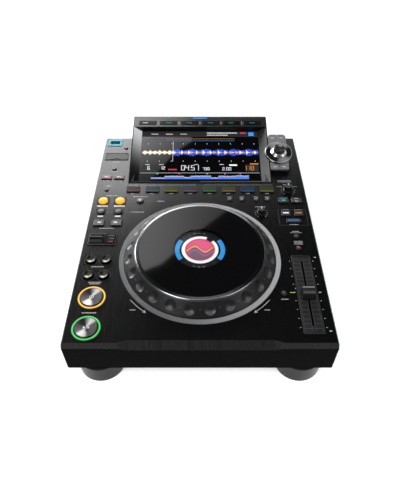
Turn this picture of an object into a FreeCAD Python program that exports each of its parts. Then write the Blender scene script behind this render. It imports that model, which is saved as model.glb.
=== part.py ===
import FreeCAD, Part
import math
import os
from FreeCAD import Matrix, Vector

# A table-top media player for disc jockeys: a wedge-shaped box with a sprung
# jog wheel, a sunk display under a sloping hood, a tempo slider and keys.
# Millimetres. X to the right, Y to the back, Z up. The origin is on the table
# under the middle of the whole outline. Places are given as a distance to the
# right of the middle and a distance back from the front face.

# Body
WIDTH = 329.0
DEPTH = 453.0
DECK_HEIGHT = 85.0
HOOD_OVERHANG = 31.2
DECK_LENGTH = DEPTH - HOOD_OVERHANG
BODY_BOTTOM = 35.2
WALL = 2.5
SIDE_CHAMFER = 1.2
BEVEL_RUN = 4.6
BEVEL_DROP = 5.9
LIP_RUN = 8.3
LIP_DROP = 9.1
LIP_HALF_WIDTH = 88.5
LIP_BLEND = 11.5

# Bottom pan and its screws
PAN_DROP = 5.0
PAN_INSET = 4.0
PAN_THICK = 2.0
PAN_FLANGE_INSET = 0.8
SCREW_BOSS_RADIUS = 5.5
SCREW_INSET = 7.6
SCREW_SHANK_RADIUS = 1.4
SCREW_HEAD_RADIUS = 3.2
SCREW_HEAD_EDGE = 0.4
SCREW_HEAD_HEIGHT = 0.9
SCREW_REACH = 6.0
SCREWS_A_SIDE = 3
SCREW_END_DISTANCE = 75.0
VENTS = 12
VENT_PITCH = 9.0
VENT_LENGTH = 60.0
VENT_WIDTH = 3.0

# Feet
FOOT_RADIUS = 30.2
FOOT_BODY_HEIGHT = 28.3
FOOT_NECK_RADIUS = 24.0
FOOT_EDGE = 2.0
FOOT_SPACING = WIDTH - 2 * FOOT_RADIUS - 9.6
FOOT_REAR_INSET = 36.0
FOOT_DISH_DEPTH = 1.0
FOOT_DISH_RADIUS = 22.0

# Jog wheel
JOG_FROM_FRONT = DEPTH * 0.31015
JOG_RING_OUTER = WIDTH * 0.33495
JOG_RING_INNER = JOG_RING_OUTER - 6.5
JOG_RING_HEIGHT = 1.2
JOG_RING_SKIRT = 2.0
PLATTER_RADIUS = JOG_RING_INNER - 0.7
PLATTER_SKIRT_TOP = 2.5
PLATTER_SKIRT_BOTTOM = -4.0
PLATTER_CONE_TOP_RADIUS = PLATTER_RADIUS - 15.0
PLATTER_CONE_TOP = 17.5
PLATTER_WALL = 3.6
WEB_TOP = 15.3
WEB_THICK = 2.5
RIM_OUTER = PLATTER_CONE_TOP_RADIUS - 0.9
GLASS_RADIUS = RIM_OUTER - 4.6
GLASS_TOP = 18.8
RIM_SHOULDER = 17.6
DIMPLES = 24
DIMPLE_RADIUS = 7.7
DIMPLE_DEPTH = 2.1
WELL_DEPTH = 13.0
WELL_GAP = 0.8
POST_RADIUS = 36.0
POST_FLANGE_RADIUS = 60.0
POST_FLANGE_THICK = 3.0
POST_BORE = 28.0
POST_ROOF = 3.0
JOG_DISPLAY_THICK = 6.0
HUB_WALL = 3.5
HUB_FIT = 0.08

# Display housing, sloping up to the back
HOUSING_FROM_FRONT = DEPTH * 0.65828
HOUSING_WIDTH = WIDTH * 0.69453
HOUSING_LIP = 0.6
HOOD_EDGE_FROM_FRONT = DEPTH - 15.8
DISPLAY_TOP = 118.0
HOOD_BACK_DROP = 11.0
HOOD_BACK_HEIGHT = 6.0
HOOD_UNDERCUT = 4.0
HOOD_NOSE_RUN = 4.0
HOOD_NOSE_DROP = 1.0
HOOD_OVERHANG_START = 3.0
HOUSING_ROUND = 1.2
RECESS_DEPTH = 12.0
RECESS_RIM = 1.6
RECESS_SIDE_SLOPE = 12.6
RECESS_FRONT_SLOPE = 9.5
RECESS_START = 2.2
RECESS_TO_HOOD_EDGE = 22.33
RECESS_UNDERCUT = 1.2
SCREEN_LEDGE = 3.0
SCREEN_THICK = 1.2
LCD_THICK = 6.0
TUB_WALL = 3.0
TUB_CUT_BELOW = 4.0
TUB_CUT_ABOVE = 30.0
TUB_REAR_GAP = 3.0

# Menu keys on the hood
MENU_KEYS = 6
MENU_PITCH = HOUSING_WIDTH * 0.15711
MENU_KEY_WIDTH = HOUSING_WIDTH * 0.12910
MENU_KEY_LENGTH = 8.7
MENU_FROM_HOOD_EDGE = 13.6
MENU_KEY_PROUD = 0.5
MENU_KEY_THICK = 5.0

# Selector block beside the display
SELECTOR_HALF_WIDTH = 15.0
SELECTOR_START_SHARE = 0.19478
SELECTOR_CENTRE_SHARE = 0.42879
SELECTOR_END_SHARE = 0.72375
SELECTOR_RING_RADIUS = 22.7
SELECTOR_RING_TOP = 3.2
SELECTOR_RING_DISH = 1.1
SELECTOR_BOSS_RADIUS = 14.0
SELECTOR_KEY_THICK = 3.0
SELECTOR_STEM = 2.6
SELECTOR_STEM_SIDE = 5.0
SELECTOR_KEY_SPLIT = 0.6
SELECTOR_FAR_ROUND = 6.0
SELECTOR_NEAR_ROUND = 3.0
BROWSE_SPLIT = 8.0
SKIRT_RADIUS = 12.8
SKIRT_TOP_RADIUS = 9.6
SKIRT_HEIGHT = 4.0
KNOB_RADIUS = 9.0
KNOB_HEIGHT = 7.0
KNOB_FLUTES = 12
KNOB_FLUTE_RADIUS = 1.1
SHAFT_RADIUS = 3.0
SHAFT_FIT = 0.06

# Clearances and travels
GAP = 0.3
KEY_GAP = 0.35
KEY_TRAVEL = 1.0
SMALL_TRAVEL = 0.6
KEY_FLANGE = 1.1
KEY_FLANGE_THICK = 1.2
KEY_STEM_RADIUS = 2.2
KEY_ROUND = 0.5

# Left control columns
LEFT_INSET = 16.6
LEFT_PITCH = 25.8
SEARCH_PITCH = 20.4
PLAY_INSET = 27.1
PLAY_FROM_FRONT = DEPTH * 0.05430
CUE_FROM_FRONT = DEPTH * 0.15585
PLAY_RADIUS = 14.0
PLAY_PROUD = 3.2
PLAY_DISH = 0.6
RING_OUTER = 18.0
RING_NECK = 16.2
RING_PROUD = 1.6
SEARCH_FROM_FRONT = DEPTH * 0.23731
TRACK_FROM_FRONT = DEPTH * 0.29691
SEARCH_RADIUS = 6.6
SEARCH_PROUD = 3.6
SEARCH_DISH = 1.0
DIRECTION_FROM_FRONT = DEPTH * 0.38366
JUMP_FROM_FRONT = DEPTH * 0.45695
JUMP_WIDTH = 15.6
JUMP_LENGTH = 11.8
BEAT_FROM_FRONT = DEPTH * 0.50993
BEAT_RADIUS = 5.2
BEAT_PROUD = 2.0
LOOP_FROM_FRONT = DEPTH * 0.56380
LOOP_RADIUS = 7.0
LOOP_PROUD = 2.4
LOOP_DOME = 0.8
RELOOP_INSET = 73.0
RELOOP_RADIUS = 5.4
SLIP_FROM_FRONT = DEPTH * 0.68918
SLIP_WIDTH = 16.4
SLIP_LENGTH = 8.8
SLIP_PITCH = 20.0
SLIP_INSET = 14.4
TIME_FROM_FRONT = DEPTH * 0.73819
TIME_INSET = 24.4
TIME_RADIUS = 3.6
STOP_FROM_FRONT = DEPTH * 0.86534
STOP_INSET = 37.3
STOP_RADIUS = 3.4
BANK_FROM_FRONT = DEPTH * 0.62141
BANK_INSET = 18.5
BANK_RADIUS = 3.0

# Direction lever
DIRECTION_INSET = 26.5
DIRECTION_WIDTH = 40.0
DIRECTION_LENGTH = 22.0
DIRECTION_PLATE = 1.2
LEVER_WIDTH = 18.4
LEVER_RADIUS = 7.6
LEVER_PIVOT_DROP = 4.0
LEVER_FLAT = 4.0
LEVER_FIN_HEIGHT = 3.2
LEVER_FIN_THICK = 3.0
LEVER_PIN_RADIUS = 1.5
LEVER_PIN_LENGTH = 1.6
LEVER_FIT = 0.06
LEVER_ANGLE = 15.0
LEVER_TUB_WALL = 2.0
INDICATOR_RISE = 1.4

# Centre keys
HOT_CUES = 8
HOT_CUE_PITCH = WIDTH * 0.09073
HOT_CUE_WIDTH = 20.8
HOT_CUE_LENGTH = 11.9
HOT_CUE_PROUD = 2.4
HOT_CUE_FROM_FRONT = DEPTH * 0.62318
MEMORY_FROM_FRONT = DEPTH * 0.57042
MEMORY_RADIUS = 3.8
CALL_X = WIDTH * 0.13982
CALL_PITCH = WIDTH * 0.05653
DELETE_X = WIDTH * 0.26322
DELETE_PITCH = WIDTH * 0.05167

# Right column
RIGHT_INSET = 27.0
VINYL_X = WIDTH * 0.27812
VINYL_FROM_FRONT = DEPTH * 0.50552
VINYL_RADIUS = 6.2
VINYL_HEIGHT = 8.0
VINYL_FLUTES = 10
JOG_ADJUST_FROM_FRONT = DEPTH * 0.61943
JOG_ADJUST_RADIUS = 7.4
JOG_ADJUST_HEIGHT = 10.0
JOG_ADJUST_FLUTES = 12
MODE_FROM_FRONT = DEPTH * 0.56600
MODE_PITCH = 20.0
MODE_WIDTH = 15.6
MODE_LENGTH = 11.6
SYNC_FROM_FRONT = DEPTH * 0.50199
SYNC_WIDTH = 13.0
SYNC_LENGTH = 11.6
SYNC_PITCH = 19.2
KEY_RESET_FROM_FRONT = DEPTH * 0.46667
KEY_RESET_WIDTH = 21.6
KEY_RESET_LENGTH = 8.4
RANGE_FROM_FRONT = DEPTH * 0.39647
MASTER_FROM_FRONT = DEPTH * 0.34614
ROUND_RADIUS = 3.8
RESET_INSET = 56.8
RESET_FROM_FRONT = DEPTH * 0.17108

# Tempo slider
SLIDER_PLATE_WIDTH = 26.4
SLIDER_PLATE_LENGTH = 127.0
SLIDER_FROM_FRONT = DEPTH * 0.17572
SLIDER_PLATE_THICK = 1.0
SLIDER_SLOT_LENGTH = 104.0
SLIDER_SLOT_WIDTH = 2.6
SLIDER_REST_OFFSET = -5.2
CAP_WIDTH = 15.6
CAP_LENGTH = 16.4
CAP_HEIGHT = 10.0
CAP_WAIST = 3.0
STEM_LENGTH = 6.0
STEM_THICK = 1.6
STEM_DEPTH = 11.0
TRACK_WIDTH = 13.0
TRACK_LENGTH = 122.0
TRACK_DEPTH = 15.0
TRACK_CHANNEL = 4.6

# Media sockets on the deck
USB_INSET = 17.3
USB_FROM_FRONT = DEPTH * 0.90066
USB_FRAME_WIDTH = 25.0
USB_FRAME_LENGTH = 19.4
USB_MOUTH_WIDTH = 16.0
USB_MOUTH_LENGTH = 9.0
USB_MOUTH_DEPTH = 5.5
USB_SOCKET_WIDTH = 12.5
USB_SOCKET_LENGTH = 5.1
USB_SOCKET_DEPTH = 14.0
USB_TONGUE = 1.9
SD_INSET = 24.5
SD_FROM_FRONT = DEPTH * 0.81369
SD_FRAME_WIDTH = 39.7
SD_FRAME_LENGTH = 19.4
SD_FRAME_RAIL = 1.6
FRAME_RISE = 1.0
DOOR_THICK = 1.6
SD_LEDGE = 1.2
SD_WELL_DEPTH = 8.0
SD_FLOOR = 4.0
SD_SLOT_WIDTH = 24.5
SD_SLOT_LENGTH = 2.4
DOOR_OPEN_ANGLE = 95.0

# Boards and power supply
BOARD_THICK = 1.6
BOARD_DROP = 8.0
BOARD_EDGE_INSET = 2.5
BOARD_BOSS_RADIUS = 3.0
BOARD_WELL_GAP = 6.0
LEFT_BOARD_START = 8.0
LEFT_BOARD_END = DEPTH * 0.76380
RIGHT_BOARD_START = DEPTH * 0.32671
CUE_BOARD_START = DEPTH * 0.55188
SMALL_BOARD_MARGIN = 8.0
VINYL_BOARD_REACH = 21.0
MAIN_BOARD_START = DEPTH * 0.57837
MAIN_BOARD_REAR_GAP = 20.0
MAIN_BOARD_SIDE_GAP = 12.0
MAIN_BOARD_SUPPLY_GAP = 8.0
LEFT_FIXING_ROWS = (DEPTH * 0.10508, DEPTH * 0.26711)
LEFT_REAR_FIXING_ROW = DEPTH * 0.53731
LEFT_INNER_FIXING_ROW = DEPTH * 0.41943
RIGHT_FIXING_ROW = DEPTH * 0.43179
RIGHT_REAR_FIXING_ROW = DEPTH * 0.59294
CUE_FIXING_ROW = DEPTH * 0.59514
CUE_FIXINGS_X = (WIDTH * 0.09119, WIDTH * 0.29787)
POT_SIDE = 10.0
POT_HEIGHT = 5.5
MAIN_BOARD_LIFT = 4.0
# Each part on the main board: its place across and along, its side and its height
BOARD_PARTS = ((0.26, 0.36, 34.0, 3.0), (0.57, 0.71, 28.0, 3.0),
               (0.82, 0.32, 22.0, 9.0), (0.21, 0.82, 20.0, 12.0))
SUPPLY_WIDTH = 96.0
SUPPLY_SIDE_GAP = 14.0
SUPPLY_FROM_REAR = 103.8
SUPPLY_FROM_FRONT = DECK_LENGTH - SUPPLY_FROM_REAR
SUPPLY_LENGTH = 130.0
SUPPLY_HEIGHT = 25.0
SUPPLY_VENTS = 7
SUPPLY_VENT_PITCH = 12.0
SUPPLY_VENT_WIDTH = 4.0
SUPPLY_VENT_DEPTH = 2.0

# Rear sockets, heights above the table
REAR_ROW = 58.0
INLET_INSET = 46.5
INLET_X = WIDTH / 2 - INLET_INSET
INLET_PLATE_WIDTH = 54.0
INLET_PLATE_HEIGHT = 28.0
INLET_PLATE_THICK = 1.6
INLET_BODY_WIDTH = 48.0
INLET_BODY_HEIGHT = 22.0
INLET_BODY_DEPTH = 24.0
IEC_WIDTH = 24.2
IEC_HEIGHT = 16.4
IEC_DEPTH = 17.0
IEC_OFFSET = -10.0
IEC_CORNER = 4.5
PIN_WIDTH = 4.0
PIN_THICK = 2.0
PIN_SPREAD = 7.0
PIN_LENGTH = 14.0
PIN_ROW = 1.5
SWITCH_OFFSET = 15.0
SWITCH_WIDTH = 10.0
SWITCH_RADIUS = 8.0
SWITCH_PIVOT_DEPTH = 3.0
SWITCH_ANGLE = 14.0
JACK_INSET = 32.5
JACK_START_X = JACK_INSET - WIDTH / 2
JACK_PITCH = 24.0
JACK_DEPTH = 15.0
JACK_PROUD = 0.8
RCA_COUNT = 3
RCA_BARREL = 4.2
RCA_LENGTH = 9.0
RCA_HOLE = 1.7
RCA_FACE = 12.0
LAN_FACE = 16.0
LAN_MOUTH_WIDTH = 11.8
LAN_MOUTH_HEIGHT = 8.0
USB_B_FACE = 13.0
USB_B_MOUTH = 8.4
USB_B_TONGUE_WIDTH = 5.6
USB_B_TONGUE_HEIGHT = 3.2
MOUTH_DEPTH = 12.0
LOCK_SLOT_WIDTH = 7.0
LOCK_SLOT_HEIGHT = 3.0
LOCK_FROM_INLET = 58.0
LOCK_X = INLET_X - LOCK_FROM_INLET

# Values that follow from the sizes above
FRONT = -DEPTH / 2
DECK = DECK_HEIGHT
SIDE = WIDTH / 2
UNDER_DECK = DECK - WALL
REAR = FRONT + DECK_LENGTH
PAN_BOTTOM = BODY_BOTTOM - PAN_DROP
PAN_FLOOR = PAN_BOTTOM + PAN_THICK
BOARD_TOP = UNDER_DECK - BOARD_DROP
HOOD_RUN = HOOD_EDGE_FROM_FRONT - HOUSING_FROM_FRONT
HOOD_RISE = DISPLAY_TOP - DECK - HOUSING_LIP
SLOPE = math.atan2(HOOD_RISE, HOOD_RUN)
SLOPE_LENGTH = math.hypot(HOOD_RISE, HOOD_RUN)
RECESS_END = SLOPE_LENGTH - RECESS_TO_HOOD_EDGE
SELECTOR_X = HOUSING_WIDTH / 2 + KEY_GAP + SELECTOR_HALF_WIDTH
SELECTOR_START = SLOPE_LENGTH * SELECTOR_START_SHARE
SELECTOR_CENTRE = SLOPE_LENGTH * SELECTOR_CENTRE_SHARE
SELECTOR_END = SLOPE_LENGTH * SELECTOR_END_SHARE
JOG_Y = FRONT + JOG_FROM_FRONT
WELL_RADIUS = JOG_RING_INNER + WELL_GAP
WELL_FLOOR = DECK - WELL_DEPTH
BOARD_INNER = WELL_RADIUS + WALL + BOARD_WELL_GAP
SUPPLY_X = SIDE - WALL - SUPPLY_SIDE_GAP - SUPPLY_WIDTH / 2
LEFT_A = -SIDE + LEFT_INSET
LEFT_B = LEFT_A + LEFT_PITCH
PLAY_X = -SIDE + PLAY_INSET
RIGHT_X = SIDE - RIGHT_INSET
SELECTOR_DEPTH = -SELECTOR_KEY_THICK - KEY_TRAVEL - GAP


def box(x0, x1, y0, y1, z0, z1):
    return Part.makeBox(x1 - x0, y1 - y0, z1 - z0, Vector(x0, y0, z0))


def block(x, y, width, length, z0, z1):
    """A box centred on x, y."""
    return box(x - width / 2, x + width / 2, y - length / 2, y + length / 2, z0, z1)


def rod(x, y, radius, z0, z1):
    return Part.makeCylinder(radius, z1 - z0, Vector(x, y, z0))


def tube(x, y, outer, inner, z0, z1):
    return rod(x, y, outer, z0, z1).cut(rod(x, y, inner, z0, z1))


def rod_x(x0, x1, y, z, radius):
    return Part.makeCylinder(radius, x1 - x0, Vector(x0, y, z), Vector(1, 0, 0))


def rod_y(x, y0, y1, z, radius):
    return Part.makeCylinder(radius, y1 - y0, Vector(x, y0, z), Vector(0, 1, 0))


def face(points):
    return Part.Face(Part.makePolygon(points + [points[0]]))


def side_prism(points, x0, x1):
    """A solid from a side outline of (y, z) points, drawn from x0 to x1."""
    return face([Vector(x0, y, z) for y, z in points]).extrude(Vector(x1 - x0, 0, 0))


def turned(points, x, y, base=0.0):
    """A solid of revolution from (radius, height) points about a vertical axis."""
    outline = face([Vector(x + r, y, base + z) for r, z in points])
    return outline.revolve(Vector(x, y, 0), Vector(0, 0, 1), 360)


def rounded_block(x, y, width, length, z0, z1, corner, top_round):
    """A box with rounded upright edges and a softened top edge."""
    solid = block(x, y, width, length, z0, z1)
    upright = [e for e in solid.Edges if abs(e.Vertexes[0].Z - e.Vertexes[1].Z) > 1e-6]
    solid = solid.makeFillet(corner, upright)
    rim = [e for e in solid.Edges if abs(e.BoundBox.ZMin - z1) < 1e-6 and abs(e.BoundBox.ZMax - z1) < 1e-6]
    return solid.makeChamfer(top_round, rim)


def union(shapes):
    result = shapes[0]
    if len(shapes) > 1:
        result = result.multiFuse(shapes[1:])
    return result.removeSplitter()


def on_slope(shape):
    """Carry a shape drawn level at the housing's front edge onto the slope.

    Drawn: X across, Y up the slope from the front edge, Z square to it.
    """
    matrix = Matrix()
    matrix.rotateX(SLOPE)
    matrix.move(Vector(0, FRONT + HOUSING_FROM_FRONT, DECK + HOUSING_LIP))
    return shape.transformed(matrix)


def slope_point(along, above):
    """The (y, z) place of a point on the slope's own scales."""
    y = along * math.cos(SLOPE) - above * math.sin(SLOPE)
    z = along * math.sin(SLOPE) + above * math.cos(SLOPE)
    return FRONT + HOUSING_FROM_FRONT + y, DECK + HOUSING_LIP + z


class Key:
    """A push key that runs in a hole in the deck.

    A key with no length is round, and its width is its diameter.
    """

    def __init__(self, x, from_front, width, length=0.0, proud=2.0, travel=SMALL_TRAVEL, dome=0.0):
        self.x = x
        self.y = FRONT + from_front
        self.width = width
        self.length = length
        self.proud = proud
        self.travel = travel
        self.dome = dome

    def outline(self, grow, z0, z1):
        if self.length:
            return block(self.x, self.y, self.width + 2 * grow, self.length + 2 * grow, z0, z1)
        return rod(self.x, self.y, self.width / 2 + grow, z0, z1)

    def cap(self):
        top = DECK + self.proud
        low = UNDER_DECK - GAP - KEY_FLANGE_THICK
        if self.length:
            return rounded_block(self.x, self.y, self.width, self.length, low, top, 2 * KEY_ROUND, KEY_ROUND)
        radius = self.width / 2
        crown = top + self.dome
        points = [(0, low - DECK), (radius, low - DECK), (radius, self.proud - KEY_ROUND)]
        points += [(radius - KEY_ROUND, self.proud), (0.4 * radius, crown - DECK), (0, crown - DECK)]
        return turned(points, self.x, self.y, DECK)

    def solid(self):
        flange_top = UNDER_DECK - GAP
        flange = self.outline(KEY_FLANGE, flange_top - KEY_FLANGE_THICK, flange_top)
        stem = rod(self.x, self.y, KEY_STEM_RADIUS, BOARD_TOP + self.travel + GAP, flange_top)
        return union([self.cap(), flange, stem])

    def hole(self):
        return self.outline(KEY_GAP, UNDER_DECK - 1, DECK + 1)


def hot_cue_x(index):
    return (index - (HOT_CUES - 1) / 2) * HOT_CUE_PITCH


def round_key(x, from_front, radius, proud=1.6, travel=SMALL_TRAVEL, dome=0.5):
    return Key(x, from_front, 2 * radius, 0.0, proud, travel, dome)


def deck_keys():
    """Every node of keys that run in the deck, with its keys."""
    keys = {}
    for index in range(HOT_CUES):
        keys["hot_cue_%d" % (index + 1)] = [
            Key(hot_cue_x(index), HOT_CUE_FROM_FRONT, HOT_CUE_WIDTH, HOT_CUE_LENGTH,
                HOT_CUE_PROUD, KEY_TRAVEL)]
    for name, x in (("loop_in_button", LEFT_A), ("loop_out_button", LEFT_B)):
        keys[name] = [round_key(x, LOOP_FROM_FRONT, LOOP_RADIUS, LOOP_PROUD, KEY_TRAVEL, LOOP_DOME)]
    keys["reloop_button"] = [
        round_key(-SIDE + RELOOP_INSET, LOOP_FROM_FRONT, RELOOP_RADIUS, BEAT_PROUD, KEY_TRAVEL)]
    keys["beat_loop_4_button"] = [round_key(LEFT_A, BEAT_FROM_FRONT, BEAT_RADIUS, BEAT_PROUD, KEY_TRAVEL)]
    keys["beat_loop_8_button"] = [round_key(LEFT_B, BEAT_FROM_FRONT, BEAT_RADIUS, BEAT_PROUD, KEY_TRAVEL)]
    for way, x in (("back", LEFT_A), ("forward", LEFT_B)):
        keys["beat_jump_%s_button" % way] = [
            Key(x, JUMP_FROM_FRONT, JUMP_WIDTH, JUMP_LENGTH, BEAT_PROUD, KEY_TRAVEL)]
    pair = (LEFT_A, LEFT_A + SEARCH_PITCH)
    for row, from_front in (("track", TRACK_FROM_FRONT), ("search", SEARCH_FROM_FRONT)):
        for way, x in zip(("back", "forward"), pair):
            name = "%s_%s_button" % (row, way)
            keys[name] = [round_key(x, from_front, SEARCH_RADIUS, SEARCH_PROUD, KEY_TRAVEL, -SEARCH_DISH)]
    slip_x = -SIDE + SLIP_INSET
    keys["mode_buttons"] = [
        Key(slip_x, SLIP_FROM_FRONT, SLIP_WIDTH, SLIP_LENGTH),
        Key(slip_x + SLIP_PITCH, SLIP_FROM_FRONT, SLIP_WIDTH, SLIP_LENGTH),
        round_key(-SIDE + TIME_INSET, TIME_FROM_FRONT, TIME_RADIUS),
        round_key(-SIDE + BANK_INSET, BANK_FROM_FRONT, BANK_RADIUS),
        round_key(-SIDE + STOP_INSET, STOP_FROM_FRONT, STOP_RADIUS)]
    keys["memory_buttons"] = [
        round_key(CALL_X, MEMORY_FROM_FRONT, MEMORY_RADIUS),
        round_key(CALL_X + CALL_PITCH, MEMORY_FROM_FRONT, MEMORY_RADIUS),
        round_key(DELETE_X, MEMORY_FROM_FRONT, MEMORY_RADIUS),
        round_key(DELETE_X + DELETE_PITCH, MEMORY_FROM_FRONT, MEMORY_RADIUS)]
    keys["tempo_buttons"] = [
        round_key(RIGHT_X, RANGE_FROM_FRONT, ROUND_RADIUS),
        round_key(RIGHT_X, MASTER_FROM_FRONT, ROUND_RADIUS),
        round_key(SIDE - RESET_INSET, RESET_FROM_FRONT, ROUND_RADIUS)]
    keys["sync_buttons"] = [
        Key(RIGHT_X - SYNC_PITCH / 2, SYNC_FROM_FRONT, SYNC_WIDTH, SYNC_LENGTH),
        Key(RIGHT_X + SYNC_PITCH / 2, SYNC_FROM_FRONT, SYNC_WIDTH, SYNC_LENGTH),
        Key(RIGHT_X, KEY_RESET_FROM_FRONT, KEY_RESET_WIDTH, KEY_RESET_LENGTH),
        Key(RIGHT_X - MODE_PITCH / 2, MODE_FROM_FRONT, MODE_WIDTH, MODE_LENGTH),
        Key(RIGHT_X + MODE_PITCH / 2, MODE_FROM_FRONT, MODE_WIDTH, MODE_LENGTH)]
    return keys


def transport_keys():
    keys = {}
    for name, from_front in (("play_button", PLAY_FROM_FRONT), ("cue_button", CUE_FROM_FRONT)):
        keys[name] = [Key(PLAY_X, from_front, 2 * PLAY_RADIUS, 0.0, PLAY_PROUD, KEY_TRAVEL, -PLAY_DISH)]
    return keys


def board_fixings():
    """Places of the pillars that hold the key boards under the deck."""
    outer = board_outer() - BOARD_BOSS_RADIUS
    inner = BOARD_INNER + BOARD_BOSS_RADIUS
    places = [(-x, d) for d in LEFT_FIXING_ROWS for x in (outer, inner)]
    places += [(-outer, LEFT_REAR_FIXING_ROW), (-inner, LEFT_INNER_FIXING_ROW)]
    places += [(outer, RIGHT_FIXING_ROW), (inner, RIGHT_FIXING_ROW), (inner, RIGHT_REAR_FIXING_ROW)]
    places += [(side * x, CUE_FIXING_ROW) for x in CUE_FIXINGS_X for side in (-1, 1)]
    return places


def board_outer():
    return SIDE - WALL - BOARD_EDGE_INSET


def screw_places():
    step = (DECK_LENGTH - 2 * SCREW_END_DISTANCE) / (SCREWS_A_SIDE - 1)
    rows = [SCREW_END_DISTANCE + step * n for n in range(SCREWS_A_SIDE)]
    return [(side * (SIDE - SCREW_INSET), FRONT + d) for side in (-1, 1) for d in rows]


def front_bevel():
    """What the bevel takes off the front top edge, deeper in the middle."""
    full = side_prism([(FRONT - 1, DECK - BEVEL_DROP - BEVEL_DROP / BEVEL_RUN),
                       (FRONT - 1, DECK + 1), (FRONT + BEVEL_RUN, DECK + 1),
                       (FRONT + BEVEL_RUN, DECK)], -SIDE, SIDE)

    def section(x, run, drop):
        points = [Vector(x, FRONT, DECK - drop), Vector(x, FRONT, DECK), Vector(x, FRONT + run, DECK)]
        return Part.makePolygon(points + [points[0]])

    wide = LIP_HALF_WIDTH + LIP_BLEND
    middle = Part.makeLoft([section(-LIP_HALF_WIDTH, LIP_RUN, LIP_DROP),
                            section(LIP_HALF_WIDTH, LIP_RUN, LIP_DROP)], True, True)
    pieces = [full, middle]
    for side in (-1, 1):
        pieces.append(Part.makeLoft([section(side * LIP_HALF_WIDTH, LIP_RUN, LIP_DROP),
                                     section(side * wide, BEVEL_RUN, BEVEL_DROP)], True, True))
    return pieces


def tub_outline(grow, low, high):
    """The display tub, drawn level, grown all round."""
    half = HOUSING_WIDTH / 2 - RECESS_RIM - RECESS_SIDE_SLOPE + SCREEN_LEDGE + TUB_WALL + grow
    start = RECESS_START + RECESS_FRONT_SLOPE - SCREEN_LEDGE - TUB_WALL - grow
    end = RECESS_END + RECESS_UNDERCUT + SCREEN_LEDGE + TUB_WALL + grow
    return box(-half, half, start, end, low, high)


def tub_floor():
    return -RECESS_DEPTH - SCREEN_THICK - LCD_THICK


def top_cover():
    outline = [Vector(-SIDE, FRONT, BODY_BOTTOM), Vector(-SIDE, FRONT, DECK - SIDE_CHAMFER),
               Vector(-SIDE + SIDE_CHAMFER, FRONT, DECK), Vector(SIDE - SIDE_CHAMFER, FRONT, DECK),
               Vector(SIDE, FRONT, DECK - SIDE_CHAMFER), Vector(SIDE, FRONT, BODY_BOTTOM)]
    cover = face(outline).extrude(Vector(0, DECK_LENGTH, 0))
    for piece in front_bevel():
        cover = cover.cut(piece)
    inside = [(FRONT + WALL, BODY_BOTTOM - 1), (FRONT + WALL, UNDER_DECK - LIP_DROP),
              (FRONT + LIP_RUN + WALL / 4, UNDER_DECK), (REAR + 1, UNDER_DECK), (REAR + 1, BODY_BOTTOM - 1)]
    cover = cover.cut(side_prism(inside, -SIDE + WALL, SIDE - WALL))
    additions = [rod(0, JOG_Y, WELL_RADIUS + WALL, WELL_FLOOR - WALL, UNDER_DECK)]
    for x, d in board_fixings():
        additions.append(rod(x, FRONT + d, BOARD_BOSS_RADIUS, BOARD_TOP, UNDER_DECK))
    for x, y in screw_places():
        boss = rod(x, y, SCREW_BOSS_RADIUS, BODY_BOTTOM, BODY_BOTTOM + 2 * SCREW_REACH)
        additions.append(boss.common(box(-SIDE + WALL, SIDE - WALL, FRONT, REAR, 0, DECK)))
    cover = cover.multiFuse(additions)
    holes = [rod(0, JOG_Y, WELL_RADIUS, WELL_FLOOR, DECK + 1)]
    holes.append(rod(0, JOG_Y, POST_BORE, WELL_FLOOR - WALL - 1, WELL_FLOOR + 1))
    for keys in deck_keys().values():
        holes += [key.hole() for key in keys]
    for from_front in (PLAY_FROM_FRONT, CUE_FROM_FRONT):
        holes.append(rod(PLAY_X, FRONT + from_front, RING_NECK, UNDER_DECK - 1, DECK + 1))
    for x, from_front in knob_places():
        holes.append(rod(x, FRONT + from_front, SHAFT_RADIUS + GAP, UNDER_DECK - 1, DECK + 1))
    holes.append(block(RIGHT_X, FRONT + SLIDER_FROM_FRONT, TRACK_CHANNEL, SLIDER_SLOT_LENGTH,
                       UNDER_DECK - 1, DECK + 1))
    holes.append(direction_tub(0.0, DECK + 1))
    holes.append(usb_tub(0.0, DECK + 1))
    holes.append(sd_tub(0.0, DECK + 1))
    holes.append(on_slope(tub_outline(GAP, tub_floor() - TUB_CUT_BELOW, TUB_CUT_ABOVE)).common(
        box(-SIDE, SIDE, FRONT, REAR - TUB_REAR_GAP, UNDER_DECK - 1, DECK + 1)))
    for x, y in screw_places():
        holes.append(rod(x, y, SCREW_SHANK_RADIUS, BODY_BOTTOM - 1, BODY_BOTTOM + SCREW_REACH))
    for hole in holes:
        cover = cover.cut(hole)
    return cover


def bottom_pan():
    edge = SIDE - PAN_FLANGE_INSET
    flange_low = BODY_BOTTOM - PAN_THICK
    pan = box(-edge, edge, FRONT + PAN_FLANGE_INSET, REAR - PAN_FLANGE_INSET, flange_low, BODY_BOTTOM)
    inner = SIDE - PAN_INSET
    pan = pan.fuse(box(-inner, inner, FRONT + PAN_INSET, REAR - PAN_INSET, PAN_BOTTOM, BODY_BOTTOM))
    rim = SIDE - SCREW_INSET - SCREW_BOSS_RADIUS
    pan = pan.cut(box(-rim, rim, FRONT + 3 * PAN_INSET, REAR - 3 * PAN_INSET, PAN_FLOOR, BODY_BOTTOM + 1))
    pillars = [rod(x, y, BOARD_BOSS_RADIUS, PAN_FLOOR, PAN_FLOOR + MAIN_BOARD_LIFT)
               for x, y in main_board_corners(BOARD_BOSS_RADIUS + 1)]
    pan = pan.multiFuse(pillars)
    for x, y in screw_places():
        pan = pan.cut(rod(x, y, SCREW_SHANK_RADIUS, PAN_BOTTOM - 1, BODY_BOTTOM + 1))
    for index in range(VENTS):
        y = JOG_Y + (index - (VENTS - 1) / 2) * VENT_PITCH
        pan = pan.cut(block(0, y, VENT_LENGTH, VENT_WIDTH, PAN_BOTTOM - 1, PAN_FLOOR + 1))
    return pan.removeSplitter()


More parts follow.
